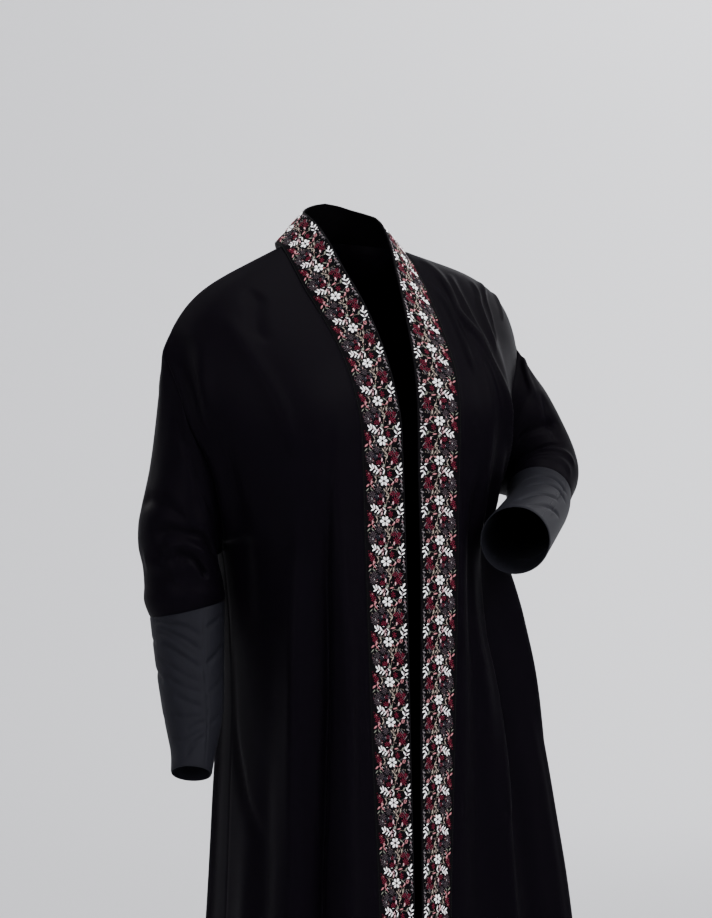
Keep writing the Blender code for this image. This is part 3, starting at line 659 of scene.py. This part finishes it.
# ---- finer grids ---------------------------------------------------------------------
def run_along(points):
    """Distance from the first point of a line, or ring of a tube, to each one."""
    gaps = np.linalg.norm(np.diff(points, axis=0), axis=-1)
    return np.concatenate(((0.0,), np.cumsum(gaps.reshape(len(gaps), -1).mean(axis=1))))


def cubic_between(rows, i, t, closed=False):
    """Cubic curve through the rows of an array, read at step i and share t of that step."""
    if closed:
        padded = np.concatenate((rows[-1:], rows, rows[:2]))
    else:
        padded = np.concatenate((rows[:1] * 2 - rows[1:2], rows, rows[-1:] * 2 - rows[-2:-1]))
    t = np.reshape(t, (-1,) + (1,) * (rows.ndim - 1))
    p0, p1, p2, p3 = (padded[i + k] for k in range(4))
    return 0.5 * (2 * p1 + (p2 - p0) * t + (2 * p0 - 5 * p1 + 4 * p2 - p3) * t**2
                  + (3 * p1 - p0 - 3 * p2 + p3) * t**3)


def refine(rows, times, closed=False):
    """Put times steps in place of each step between the rows of an array."""
    steps = len(rows) if closed else len(rows) - 1
    at = np.arange(steps * times + (0 if closed else 1))
    i = np.minimum(at // times, steps - 1)
    return cubic_between(rows, i, at / times - i, closed)


def finer_grid(grid, row_times, column_times, closed=False):
    tall = refine(grid, row_times)
    return refine(tall.transpose(1, 0, 2), column_times, closed).transpose(1, 0, 2)


def normals_of(grid, closed=False):
    """Unit normals of a grid of points; closed joins its last column to its first."""
    if closed:
        across = np.roll(grid, -1, axis=1) - np.roll(grid, 1, axis=1)
    else:
        across = np.gradient(grid, axis=1)
    normal = np.cross(across, np.gradient(grid, axis=0))
    return normal / np.maximum(np.linalg.norm(normal, axis=2, keepdims=True), TINY)


def eased(value):
    return np.sin(np.clip(value, 0.0, 1.0) * math.pi / 2)


def fold_height(folds, share, z, span):
    """Height of the largest folds; share, z and span are arrays over a panel."""
    total = np.zeros_like(z)
    for at_top, at_hem, z_top, z_end, half_width, depth in folds:
        run = (z_top - z) / (z_top - max(z_end, -LENGTH))
        centre = at_top + (at_hem - at_top) * np.clip(run, 0.0, 1.0)
        grown = np.clip((z_top - z) / FOLD_FADE, 0.0, 1.0)
        left = np.clip((z - z_end + FOLD_FADE) / FOLD_FADE, 0.0, 1.0)
        offset = (share - centre) * span / half_width
        total += depth * np.exp(-offset**2) * np.sin(grown * left * math.pi / 2)
    return total * eased(np.minimum(share, 1.0 - share) / SEAM_CALM)


def crease_height(creases, across, down, scale):
    """Height of the listed creases; scale turns their paths into metres."""
    total = np.zeros_like(across)
    for low_side, high_side, depth, *path in creases:
        points = refine(np.array(path) * scale, CURVE_STEPS)
        steps = np.diff(points, axis=0)
        travelled = run_along(points)
        lengths = np.diff(travelled)
        nearest = np.full_like(across, np.inf)
        side = np.zeros_like(across)
        run = np.zeros_like(across)
        for start, step, length, before in zip(points, steps, lengths, travelled):
            from_x, from_y = across - start[0], down - start[1]
            t = np.clip((from_x * step[0] + from_y * step[1]) / length**2, 0.0, 1.0)
            gap = (from_x - t * step[0]) ** 2 + (from_y - t * step[1]) ** 2
            closer = gap < nearest
            nearest = np.where(closer, gap, nearest)
            side = np.where(closer, from_y * step[0] - from_x * step[1], side)
            run = np.where(closer, (before + t * length) / travelled[-1], run)
        half_width = np.where(side > 0, high_side, low_side) / 1000
        held = HEM_HOLD if path[-1][1] <= -LENGTH else 0.0
        ends = eased(run / CREASE_FADE) * eased((1.0 - run) / CREASE_FADE + held)
        total += depth / 1000 * np.exp(-nearest / half_width**2) * ends
    return total


def row_spans(grid):
    return np.linalg.norm(np.diff(grid, axis=1), axis=2).sum(axis=1)[:, None]


def panel_surface(grid, share, times, folds, creases, span_share=1.0):
    """Move a panel's fine grid along its normals by its folds and creases."""
    z = grid[:, :, 2]
    calm = eased(np.arange(len(grid)) / (times * SHOULDER_CALM))[:, None]
    height = fold_height(folds, share, z, row_spans(grid) * span_share) * calm
    laid = crease_height(creases, share * PANEL_SPAN, z, np.array((PANEL_SPAN, 1.0)))
    height += laid * eased(np.minimum(share, 1.0 - share) / CREASE_CALM)
    return grid + normals_of(grid) * height[:, :, None]


def front_surface(side, times):
    shares = np.linspace(0.0, 1.0, PANEL_COLUMNS + 1)
    shares = shares if side == "right" else shares[::-1]
    rows = range(UPPER_ROWS + LOWER_ROWS + 1)
    coarse = np.array([[front_point(side, share, r) for share in shares] for r in rows])
    grid = finer_grid(coarse, times, times)
    fine = np.interp(np.linspace(0, 1, grid.shape[1]), np.linspace(0, 1, len(shares)), shares)
    share = np.broadcast_to(fine, grid.shape[:2])
    return panel_surface(grid, share, times, FRONT_FOLDS[side], FRONT_CREASES[side])


def back_surface(times):
    half = NECK_COLUMNS + PANEL_COLUMNS
    coarse = np.empty((UPPER_ROWS + LOWER_ROWS + 1, 2 * half + 1, 3))
    for r in range(len(coarse)):
        for c in range(half + 1):
            coarse[r, half - c] = back_point("right", c, r)
            coarse[r, half + c] = back_point("left", c, r)
    grid = finer_grid(coarse, times, times)
    middle = grid.shape[1] // 2
    share = np.broadcast_to(np.abs(np.linspace(-1.0, 1.0, grid.shape[1])), grid.shape[:2])
    parts = []
    for side, columns in (("right", slice(0, middle)), ("left", slice(middle, None))):
        whole = panel_surface(grid, share, times, BACK_FOLDS[side], BACK_CREASES[side], 0.5)
        parts.append(whole[:, columns])
    return np.concatenate(parts, axis=1)


def tube_surface(coarse, side, creases, row_times, column_times):
    """Fine closed grid of a sleeve or cuff, with its listed creases."""
    grid = finer_grid(coarse, row_times, column_times, closed=True)
    turns = np.arange(grid.shape[1]) / grid.shape[1] * SIDES[side]
    turns = (turns + 0.5) % 1.0 - 0.5
    girth = row_spans(grid).mean()
    length = run_along(grid)[-1]
    down = np.linspace(0.0, length, len(grid))[:, None] * np.ones(grid.shape[1])
    across = np.ones(len(grid))[:, None] * turns * girth
    height = crease_height(creases, across, down, np.array((girth, length)))
    return grid + normals_of(grid, True) * height[:, :, None]


def band_surface(side, times):
    seam, steps = (refine(line, times) for line in band_lines(side))
    shares = np.linspace(0.0, 1.0, BAND_COLUMNS + 1)[None, :, None]
    grid = seam[:, None] + steps[:, None] * BAND_WIDTH * shares
    return grid if side == "right" else grid[:, ::-1]


# ---- meshes --------------------------------------------------------------------------
def finished(name, mesh, material=None):
    """Link a finished piece, with smooth shading and sharp edges at its rims."""
    if material:
        mesh.materials.clear()
        mesh.materials.append(material)
    mesh.shade_smooth()
    mesh.set_sharp_from_angle(angle=SHARP_ANGLE)
    piece = bpy.data.objects.new(name, mesh)
    bpy.context.scene.collection.objects.link(piece)
    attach(piece, "root")
    return piece


def turned_in(grid, closed):
    """Roll the outermost points of a piece inwards, as at a pressed seam or hem."""
    dip = np.zeros(grid.shape[:2])
    dip[0] = dip[-1] = SEAM_DIP
    if not closed:
        dip[:, 0] = dip[:, -1] = SEAM_DIP
    return grid - normals_of(grid, closed) * dip[:, :, None]


def strip(one, other):
    """Four-sided faces between two runs of points."""
    return np.stack((one[:-1], one[1:], other[1:], other[:-1]), axis=-1)


def shell(name, grid, closed, wall, slot):
    """Closed thin wall of cloth whose outside is the grid; its UV map is in metres."""
    rows, columns = grid.shape[:2]
    inner = grid - normals_of(grid, closed) * wall
    grid = turned_in(grid, closed)
    points = np.concatenate((grid.reshape(-1, 3), inner.reshape(-1, 3)))
    index = np.arange(rows * columns).reshape(rows, columns)
    around = np.concatenate((index, index[:, :1]), axis=1) if closed else index
    inside = rows * columns
    outer = np.stack((around[:-1, :-1], around[:-1, 1:], around[1:, 1:], around[1:, :-1]), axis=-1)
    faces = [outer.reshape(-1, 4), outer.reshape(-1, 4)[:, ::-1] + inside]
    rims = [around[0, ::-1], around[-1]]
    if not closed:
        rims += [index[:, 0], index[::-1, -1]]
    faces += [strip(rim, rim + inside) for rim in rims]
    mesh = bpy.data.meshes.new(name)
    mesh.from_pydata(points.tolist(), [], np.concatenate(faces).tolist())
    flat = np.empty((rows, columns, 2))
    flat[:, :, 0] = run_along(grid.transpose(1, 0, 2))
    flat[:, :, 1] = run_along(grid)[:, None]
    corners = np.empty(len(mesh.loops), dtype=np.int32)
    mesh.loops.foreach_get("vertex_index", corners)
    layer = mesh.uv_layers.new(name="cloth")
    flat = np.tile(flat.reshape(-1, 2), (2, 1))
    layer.data.foreach_set("uv", flat[corners].ravel().astype(np.float32))
    piece = finished(name + "_cloth", mesh, cloth_material(slot))
    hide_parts(name)
    return piece


def add_leaf_mesh(name):
    """Raised leaf of unit length, width and height, with the outline of its name."""
    outline = OUTLINES[name]
    steps = len(outline) - 1
    aside, high = LEAF_SHOULDER
    points, faces = [], []
    for i, half in enumerate(outline):
        x = i / steps - 0.5
        crown = math.sin(math.pi * i / steps) ** 0.5
        points += [(x, -half, LEAF_ROOT), (x, -half * aside, crown * high), (x, 0.0, crown),
                   (x, half * aside, crown * high), (x, half, LEAF_ROOT)]
    for i in range(steps):
        faces += [(a, a + 5, a + 6, a + 1) for a in range(i * 5, i * 5 + 4)]
    mesh = bpy.data.meshes.new(name)
    mesh.from_pydata(points, [], faces)
    mesh.shade_smooth()
    return bpy.data.objects.new(name, mesh)


def threadwork_tree():
    """Geometry Nodes: put a piece on every point, turned and sized by its attributes."""
    name = "Threadwork on points"
    if name in bpy.data.node_groups:
        return bpy.data.node_groups[name]
    tree = bpy.data.node_groups.new(name, "GeometryNodeTree")
    for name, kind in (("Geometry", "Geometry"), ("Piece", "Object"), ("Material", "Material"),
                       ("Unevenness", "Float"), ("Seed", "Int")):
        tree.interface.new_socket(name, in_out="INPUT", socket_type="NodeSocket" + kind)
    tree.interface.new_socket("Geometry", in_out="OUTPUT", socket_type="NodeSocketGeometry")
    given = add_node(tree, "NodeGroupInput").outputs
    piece = add_node(tree, "GeometryNodeObjectInfo", {"Object": given["Piece"]})
    turn, size = (add_node(tree, "GeometryNodeInputNamedAttribute", {"Name": name},
                           data_type="FLOAT_VECTOR").outputs["Attribute"]
                  for name in ("turn", "size"))
    rotation = add_node(tree, "FunctionNodeEulerToRotation", {0: turn})
    least, most = (add_node(tree, "ShaderNodeMath", {0: 1.0, 1: given["Unevenness"]},
                            operation=operation).outputs[0]
                   for operation in ("SUBTRACT", "ADD"))
    vary = add_node(tree, "FunctionNodeRandomValue", {2: least, 3: most, "Seed": given["Seed"]},
                    data_type="FLOAT")
    scaled = add_node(tree, "ShaderNodeVectorMath", {0: size, "Scale": vary.outputs[1]},
                      operation="SCALE")
    place = add_node(tree, "GeometryNodeInstanceOnPoints", {
        "Points": given["Geometry"], "Instance": piece.outputs["Geometry"],
        "Rotation": rotation.outputs[0], "Scale": scaled.outputs[0]})
    real = add_node(tree, "GeometryNodeRealizeInstances", {"Geometry": place.outputs[0]})
    paint = add_node(tree, "GeometryNodeSetMaterial",
                     {"Geometry": real.outputs[0], "Material": given["Material"]})
    add_node(tree, "NodeGroupOutput", {"Geometry": paint.outputs[0]})
    return tree


def scatter(name, leaf, places, material, unevenness, seed):
    """Run the threadwork tree over places, each (point, along, outward, length, width, height)."""
    tree = threadwork_tree()
    mesh = bpy.data.meshes.new(name + " points")
    mesh.from_pydata([place[0] for place in places], [], [])
    turns, sizes = [], []
    for _, along, outward, length, width, height in places:
        x_axis = Vector(unit(along))
        z_axis = Vector(unit(outward))
        y_axis = z_axis.cross(x_axis).normalized()
        turned = Matrix((x_axis, y_axis, x_axis.cross(y_axis))).transposed()
        turns.extend(turned.to_euler())
        sizes.extend((length, width, height))
    mesh.attributes.new("turn", "FLOAT_VECTOR", "POINT").data.foreach_set("vector", turns)
    mesh.attributes.new("size", "FLOAT_VECTOR", "POINT").data.foreach_set("vector", sizes)
    holder = bpy.data.objects.new(name + " points", mesh)
    bpy.context.scene.collection.objects.link(holder)
    modifier = holder.modifiers.new("threadwork", "NODES")
    modifier.node_group = tree
    named_inputs = {item.name: item.identifier for item in tree.interface.items_tree
                    if item.item_type == "SOCKET" and item.in_out == "INPUT"}
    for socket, value in (("Piece", leaf), ("Material", material),
                          ("Unevenness", unevenness), ("Seed", seed)):
        modifier[named_inputs[socket]] = value
    bpy.context.view_layer.update()
    evaluated = holder.evaluated_get(bpy.context.evaluated_depsgraph_get())
    result = bpy.data.meshes.new_from_object(evaluated)
    result.name = name
    holder.modifiers.clear()
    bpy.data.objects.remove(holder, do_unlink=True)
    return finished(name, result)


# ---- materials -----------------------------------------------------------------------
def linear(colour):
    """sRGB hex to linear RGBA."""
    parts = [int(colour[i:i + 2], 16) / 255.0 for i in (1, 3, 5)]
    return tuple(c / 12.92 if c <= 0.04045 else ((c + 0.055) / 1.055) ** 2.4 for c in parts) + (1.0,)


def add_node(tree, kind, fed=None, **settings):
    """Add a node; fed gives its inputs a plain value or the socket that is linked to them."""
    node = tree.nodes.new(kind)
    for name, value in settings.items():
        setattr(node, name, value)
    for name, value in (fed or {}).items():
        if isinstance(value, bpy.types.NodeSocket):
            tree.links.new(value, node.inputs[name])
        else:
            node.inputs[name].default_value = value
    return node


def plain_material(name, colour, roughness, gloss):
    """Surface without relief, as of thread or paint."""
    material = bpy.data.materials.new(name)
    material.use_nodes = True
    shader = material.node_tree.nodes["Principled BSDF"]
    shader.inputs["Base Color"].default_value = linear(colour)
    shader.inputs["Roughness"].default_value = roughness
    shader.inputs["Specular IOR Level"].default_value = gloss
    return material


def cloth_material(slot):
    """The cloth of a slot, made once, with its relief drawn in metres on the cloth's UV map."""
    name, colour, roughness, gloss, sheen = CLOTHS[slot]
    if name in bpy.data.materials:
        return bpy.data.materials[name]
    material = plain_material(name, colour, roughness, gloss)
    tree = material.node_tree
    shader = tree.nodes["Principled BSDF"]
    shader.inputs["Sheen Weight"].default_value = sheen
    shader.inputs["Sheen Roughness"].default_value = SHEEN_ROUGHNESS
    where = add_node(tree, "ShaderNodeUVMap", uv_map="cloth").outputs["UV"]
    if "jersey" in slot:
        # Columns of knit loops stand up along the arm.
        relief = add_node(tree, "ShaderNodeTexWave", {
            "Vector": where, "Scale": WAVE_STEP / KNIT_WALE, "Distortion": KNIT_WANDER},
            wave_type="BANDS", bands_direction="X")
        depth = KNIT_RELIEF
    else:
        # Hard-twisted yarns pucker into a fine pebble.
        relief = add_node(tree, "ShaderNodeTexNoise", {
            "Vector": where, "Scale": 1.0 / CREPE_PEBBLE, "Detail": CREPE_DETAIL},
            noise_dimensions="2D")
        depth = CREPE_RELIEF
    bump = add_node(tree, "ShaderNodeBump", {
        "Strength": RELIEF_STRENGTH, "Distance": depth, "Height": relief.outputs["Fac"]})
    tree.links.new(bump.outputs["Normal"], shader.inputs["Normal"])
    return material


# ---- settings ------------------------------------------------------------------------
class AbayaCloth(bpy.types.PropertyGroup):
    """Sizes of the cloth that are set in the sidebar."""

    wall: bpy.props.FloatProperty(
        name="Cloth thickness", description="Thickness of the crepe and the jersey",
        default=0.0012, min=0.0005, max=0.003, unit="LENGTH")
    band_wall: bpy.props.FloatProperty(
        name="Band thickness", description="Thickness of the backed embroidered band",
        default=0.0020, min=0.001, max=0.004, unit="LENGTH")
    fineness: bpy.props.IntProperty(
        name="Fineness", description="Steps of the shells for each step of the solids",
        default=6, min=2, max=8)


class AbayaEmbroidery(bpy.types.PropertyGroup):
    """Sizes of the embroidery and the sewing."""

    relief: bpy.props.FloatProperty(
        name="Relief", description="Height of a leaf that is 2 mm wide",
        default=LEAF_HEIGHT, min=0.0002, max=0.002, unit="LENGTH")
    unevenness: bpy.props.FloatProperty(
        name="Unevenness", description="How much the worked leaves differ in size",
        default=0.08, min=0.0, max=0.3, subtype="FACTOR")
    stitch: bpy.props.FloatProperty(
        name="Stitch", description="Length of one stitch along the edges of the band",
        default=0.0026, min=0.001, max=0.006, unit="LENGTH")


class AbayaStudio(bpy.types.PropertyGroup):
    """Camera and lights."""

    distance: bpy.props.FloatProperty(
        name="Camera distance", description="Camera to the upright axis of the cloak",
        default=3.5, min=1.0, max=10.0, unit="LENGTH")
    light: bpy.props.FloatProperty(
        name="Light", description="Share of full power in every softbox",
        default=1.0, min=0.0, max=4.0, subtype="FACTOR")


# ---- operators -----------------------------------------------------------------------
class ABAYA_OT_panels(bpy.types.Operator):
    """Build the back and both fronts of black crepe"""

    bl_idname = "abaya.panels"
    bl_label = "Back and fronts"

    def execute(self, context):
        cloth = context.scene.abaya_cloth
        shell("back", back_surface(cloth.fineness - 1), False, cloth.wall, "black_crepe")
        for side in SIDES:
            grid = front_surface(side, cloth.fineness)
            shell("front_" + side, grid, False, cloth.wall, "black_crepe")
        return {"FINISHED"}


class ABAYA_OT_sleeves(bpy.types.Operator):
    """Build the crepe sleeves and the jersey forearm cuffs"""

    bl_idname = "abaya.sleeves"
    bl_label = "Sleeves and cuffs"

    def execute(self, context):
        cloth = context.scene.abaya_cloth
        fine = cloth.fineness
        for side in SIDES:
            sleeve, cuff = arm_grids(side)
            grid = tube_surface(sleeve, side, SLEEVE_CREASES[side], fine, fine - 1)
            shell("sleeve_" + side, grid, True, cloth.wall, "black_crepe")
            grid = tube_surface(cuff, side, CUFF_CREASES[side], 2 * fine - 2, fine)
            shell("cuff_" + side, grid, True, cloth.wall, "charcoal_jersey")
        return {"FINISHED"}


class ABAYA_OT_bands(bpy.types.Operator):
    """Build the band up both fronts and round the neck"""

    bl_idname = "abaya.bands"
    bl_label = "Band"

    def execute(self, context):
        cloth = context.scene.abaya_cloth
        for side in SIDES:
            grid = band_surface(side, cloth.fineness)
            shell("band_" + side, grid, False, cloth.band_wall, "embroidered_band")
        return {"FINISHED"}


class BandPath:
    """Places on the middle line of a band, by distance from the hem."""

    def __init__(self, side):
        seam, steps = (refine(line, CURVE_STEPS) for line in band_lines(side))
        self.middle = seam + steps * BAND_WIDTH / 2
        self.outward = -steps
        self.side = side
        self.reach = run_along(self.middle)
        self.length = self.reach[-1]
        self.along = np.gradient(self.middle, axis=0)

    def read(self, lines, s):
        return np.array([np.interp(s, self.reach, lines[:, k]) for k in range(3)])

    def place(self, s, u):
        """Point on the band, its step towards the seam, its step up the band, its normal."""
        outward = unit(self.read(self.outward, s))
        along = unit(self.read(self.along, s))
        normal = unit(np.cross(outward, along)) * SIDES[self.side]
        return self.read(self.middle, s) + outward * u, outward, along, normal


def flower_rows():
    """Petals of the flower in the same form as the rows of the chart."""
    rows = []
    for k in range(FLOWER["petals"]):
        turn = 2 * math.pi * k / FLOWER["petals"]
        near, far = FLOWER["from"], FLOWER["to"]
        rows.append((near * math.cos(turn), near * math.sin(turn),
                     far * math.cos(turn), far * math.sin(turn), FLOWER["width"]))
    return rows


def stem_rows(width, path):
    """Run of short stitches along a smooth line through the points of a stem."""
    line = refine(np.array(path), STEM_STEPS)
    reach = run_along(line)
    count = max(int(round(reach[-1] / STEM_STITCH)), 1)
    at = np.linspace(0.0, reach[-1], count + 1)
    u, v = (np.interp(at, reach, line[:, k]) for k in range(2))
    return [(u[i], v[i], u[i] + STEM_FILL * (u[i + 1] - u[i]), v[i] + STEM_FILL * (v[i + 1] - v[i]),
             width) for i in range(count)]


def rose_rows(middle_u, middle_v, across, along, petals):
    """Two rings of petals that lie slantwise round the middle of a rose."""
    rows = []
    for ring, (near, far) in enumerate(ROSE_RINGS):
        count = petals // (ring + 1)
        for k in range(count):
            turn = 2 * math.pi * (k + 0.5 * ring) / count
            tip = turn + ROSE_SLANT
            rows.append((middle_u + across * near * math.cos(turn),
                         middle_v + along * near * math.sin(turn),
                         middle_u + across * far * math.cos(tip),
                         middle_v + along * far * math.sin(tip), ROSE_PETAL))
    return rows


def fleck_rows(count, seed):
    """Short stitches strewn over one repeat."""
    chance = np.random.default_rng(seed)
    rows = []
    for _ in range(count):
        u = chance.uniform(*FLECK_EDGE)
        v = chance.uniform(0.0, REPEAT * 1000)
        turn = chance.uniform(0.0, 2 * math.pi)
        length = chance.uniform(*FLECK_LENGTH)
        rows.append((u, v, u + length * math.cos(turn), v + length * math.sin(turn), FLECK_WIDTH))
    return rows


def chart_places(rows, relief):
    """Every leaf of the rows, repeated up both halves of the band."""
    places = []
    for side in SIDES:
        path = BandPath(side)
        last = int((path.length - FLOWER_START[side]) / REPEAT) + 1
        for k in range(-1, last + 1):
            for u0, v0, u1, v1, width in rows:
                low, high = (FLOWER_START[side] + k * REPEAT + CHART_UP[side] * v / 1000
                             for v in (v0, v1))
                near, far = (CHART_SPREAD * u / 1000 for u in (u0, u1))
                s = (low + high) / 2
                if not HEM_REST < s < path.length - NECK_REST:
                    continue
                point, outward, along, normal = path.place(s, (near + far) / 2)
                step = outward * (far - near) + along * (high - low)
                length = float(np.linalg.norm(step))
                height = relief * min(width / 2.0, WIDEST_RAISED)
                places.append((point, step, normal, length, width / 1000, height))
    return places


class ABAYA_OT_embroidery(bpy.types.Operator):
    """Work the embroidery of the band, one thread colour after another"""

    bl_idname = "abaya.embroidery"
    bl_label = "Embroidery"

    def execute(self, context):
        work = context.scene.abaya_embroidery
        leaf, petal, stitch = map(add_leaf_mesh, ("leaf", "petal", "stem stitch"))
        for seed, (name, colour) in enumerate(THREADS.items()):
            thread = plain_material(name + " embroidery thread", colour, *SATIN_THREAD)
            if name in CHART:
                scatter("leaves_" + name, leaf, chart_places(CHART[name], work.relief), thread,
                        work.unevenness, seed)
            fine = [row for stem, width, path in STEMS if stem == name
                    for row in stem_rows(width, path)]
            fine += [row for rose, *form in ROSES if rose == name for row in rose_rows(*form)]
            fine += [row for fleck, count in FLECKS if fleck == name
                     for row in fleck_rows(count, seed)]
            if fine:
                scatter("stems_" + name, stitch, chart_places(fine, work.relief), thread,
                        work.unevenness, seed + len(THREADS))
        white = bpy.data.materials["white embroidery thread"]
        scatter("embroidery_flowers", petal, chart_places(flower_rows(), work.relief), white,
                work.unevenness, 2 * len(THREADS))
        for base in (leaf, petal, stitch):
            bpy.data.objects.remove(base, do_unlink=True)
        return {"FINISHED"}


class ABAYA_OT_stitches(bpy.types.Operator):
    """Sew the band down with a row of stitches along each edge"""

    bl_idname = "abaya.stitches"
    bl_label = "Stitches"

    def execute(self, context):
        work = context.scene.abaya_embroidery
        stitch = add_leaf_mesh("edge stitch")
        thread = plain_material("black sewing thread", *SEWING_THREAD)
        pitch = work.stitch * EDGE_PITCH
        places = []
        for side in SIDES:
            path = BandPath(side)
            for edge in (-EDGE_PLACE, EDGE_PLACE):
                for k in range(int(path.length / pitch)):
                    point, _, along, normal = path.place((k + 0.5) * pitch, edge)
                    places.append((point, along, normal, work.stitch, *EDGE_STITCH))
        scatter("edge_stitches", stitch, places, thread, EDGE_UNEVEN, EDGE_SEED)
        bpy.data.objects.remove(stitch, do_unlink=True)
        return {"FINISHED"}


# ---- studio --------------------------------------------------------------------------
AIM = (0.0, 0.0, -0.45)
# Each softbox: name, place, point that it lights, size, power in watts.
SOFTBOXES = (
    ("rim softbox", (2.6, 0.3, 1.5), AIM, 1.2, 17.0),
    ("key softbox", (1.4, -3.4, 2.2), AIM, 2.0, 190.0),
    ("fill softbox", (-3.2, -2.4, 1.2), AIM, 2.2, 95.0),
    ("back softbox", (-1.2, 3.2, 1.4), AIM, 1.6, 34.0),
    ("top softbox", (0.3, -0.6, 2.8), AIM, 2.4, 70.0),
    ("backdrop softbox", (5.4, 3.6, 3.2), (5.0, 7.0, 1.8), 2.0, 320.0),
)
COVE_RADIUS = 9.0
COVE_BEND = 2.5
COVE_HEIGHT = 9.0
COVE_SIDES = 96
COVE_STEPS = 12           # steps of the bend
FLOOR_DROP = 0.004        # the floor lies this far below the hem
LOOK_AT = (0.013, -0.0075, -0.238)   # point in the middle of the view
LOOK_TURN = math.radians(-30.0)
PIXEL = 0.00113           # size of a pixel at the upright axis of the cloak
LONG_SIDE = 918
SENSOR = 36.0
DAYLIGHT_COLOUR = "#F2F3F6"
DAYLIGHT_STRENGTH = 0.8


def cove_mesh(floor_z):
    """Round floor that bends up into a wall, turned about the upright axis."""
    profile = [(0.0, 0.0), (COVE_RADIUS - COVE_BEND, 0.0)]
    for k in range(1, COVE_STEPS + 1):
        turn = k / COVE_STEPS * math.pi / 2
        profile.append((COVE_RADIUS - COVE_BEND + COVE_BEND * math.sin(turn),
                        COVE_BEND * (1.0 - math.cos(turn))))
    profile.append((COVE_RADIUS, COVE_HEIGHT))
    points, faces = [], []
    for k in range(COVE_SIDES):
        turn = 2 * math.pi * k / COVE_SIDES
        points += [(r * math.cos(turn), r * math.sin(turn), floor_z + z) for r, z in profile]
    count = len(profile)
    for k in range(COVE_SIDES):
        here, there = k * count, (k + 1) % COVE_SIDES * count
        faces += [(here + i, here + i + 1, there + i + 1, there + i) for i in range(1, count - 1)]
        faces.append((here, here + 1, there + 1))
    mesh = bpy.data.meshes.new("studio cove")
    mesh.from_pydata(points, [], faces)
    mesh.shade_smooth()
    return mesh


def add_softbox(name, place, aim, size, power):
    lamp = bpy.data.lights.new(name, "AREA")
    lamp.shape = "SQUARE"
    lamp.size = size
    lamp.energy = power
    box = bpy.data.objects.new(name, lamp)
    box.location = place
    box.rotation_euler = (Vector(aim) - box.location).to_track_quat("-Z", "Y").to_euler()
    bpy.context.scene.collection.objects.link(box)


class ABAYA_OT_studio(bpy.types.Operator):
    """Set up the pale cove, the softboxes and the camera"""

    bl_idname = "abaya.studio"
    bl_label = "Studio"

    def execute(self, context):
        studio = context.scene.abaya_studio
        collection = context.scene.collection
        mesh = cove_mesh(-LENGTH - FLOOR_DROP)
        mesh.materials.append(plain_material("painted studio cove", *STUDIO_PAINT))
        cove = bpy.data.objects.new("studio cove", mesh)
        collection.objects.link(cove)
        for name, place, aim, size, power in SOFTBOXES:
            add_softbox(name, place, aim, size, power * studio.light)
        world = bpy.data.worlds.new("soft daylight")
        world.use_nodes = True
        sky = world.node_tree.nodes["Background"].inputs
        sky["Color"].default_value = linear(DAYLIGHT_COLOUR)
        sky["Strength"].default_value = DAYLIGHT_STRENGTH
        context.scene.world = world
        camera = bpy.data.cameras.new("camera")
        camera.sensor_width = SENSOR
        camera.lens = studio.distance / PIXEL / LONG_SIDE * SENSOR
        camera.dof.use_dof = False
        holder = bpy.data.objects.new("camera", camera)
        back = Vector((math.sin(LOOK_TURN), -math.cos(LOOK_TURN), 0.0))
        holder.location = Vector(LOOK_AT) + back * studio.distance
        holder.rotation_euler = (math.pi / 2, 0.0, LOOK_TURN)
        collection.objects.link(holder)
        context.scene.camera = holder
        return {"FINISHED"}


class ABAYA_PT_sidebar(bpy.types.Panel):
    """Settings and building steps of the cloak"""

    bl_idname = "ABAYA_PT_sidebar"
    bl_label = "Abaya cloak"
    bl_space_type = "VIEW_3D"
    bl_region_type = "UI"
    bl_category = "Abaya"

    def draw(self, context):
        scene = context.scene
        for group in (scene.abaya_cloth, scene.abaya_embroidery, scene.abaya_studio):
            for name in group.__annotations__:
                self.layout.prop(group, name)
        for step in STEPS:
            self.layout.operator(step.bl_idname)


STEPS = (ABAYA_OT_panels, ABAYA_OT_sleeves, ABAYA_OT_bands, ABAYA_OT_embroidery,
         ABAYA_OT_stitches, ABAYA_OT_studio)
GROUPS = {"abaya_cloth": AbayaCloth, "abaya_embroidery": AbayaEmbroidery,
          "abaya_studio": AbayaStudio}


def register():
    for group in GROUPS.values():
        bpy.utils.register_class(group)
    for name, group in GROUPS.items():
        setattr(bpy.types.Scene, name, bpy.props.PointerProperty(type=group))
    for step in STEPS + (ABAYA_PT_sidebar,):
        bpy.utils.register_class(step)


def unregister():
    for step in reversed(STEPS + (ABAYA_PT_sidebar,)):
        bpy.utils.unregister_class(step)
    for name, group in GROUPS.items():
        delattr(bpy.types.Scene, name)
        bpy.utils.unregister_class(group)


def main():
    register()
    bpy.ops.abaya.panels()
    bpy.ops.abaya.sleeves()
    bpy.ops.abaya.bands()
    bpy.ops.abaya.embroidery()
    bpy.ops.abaya.stitches()
    bpy.ops.abaya.studio()


if __name__ == "__main__":
    main()
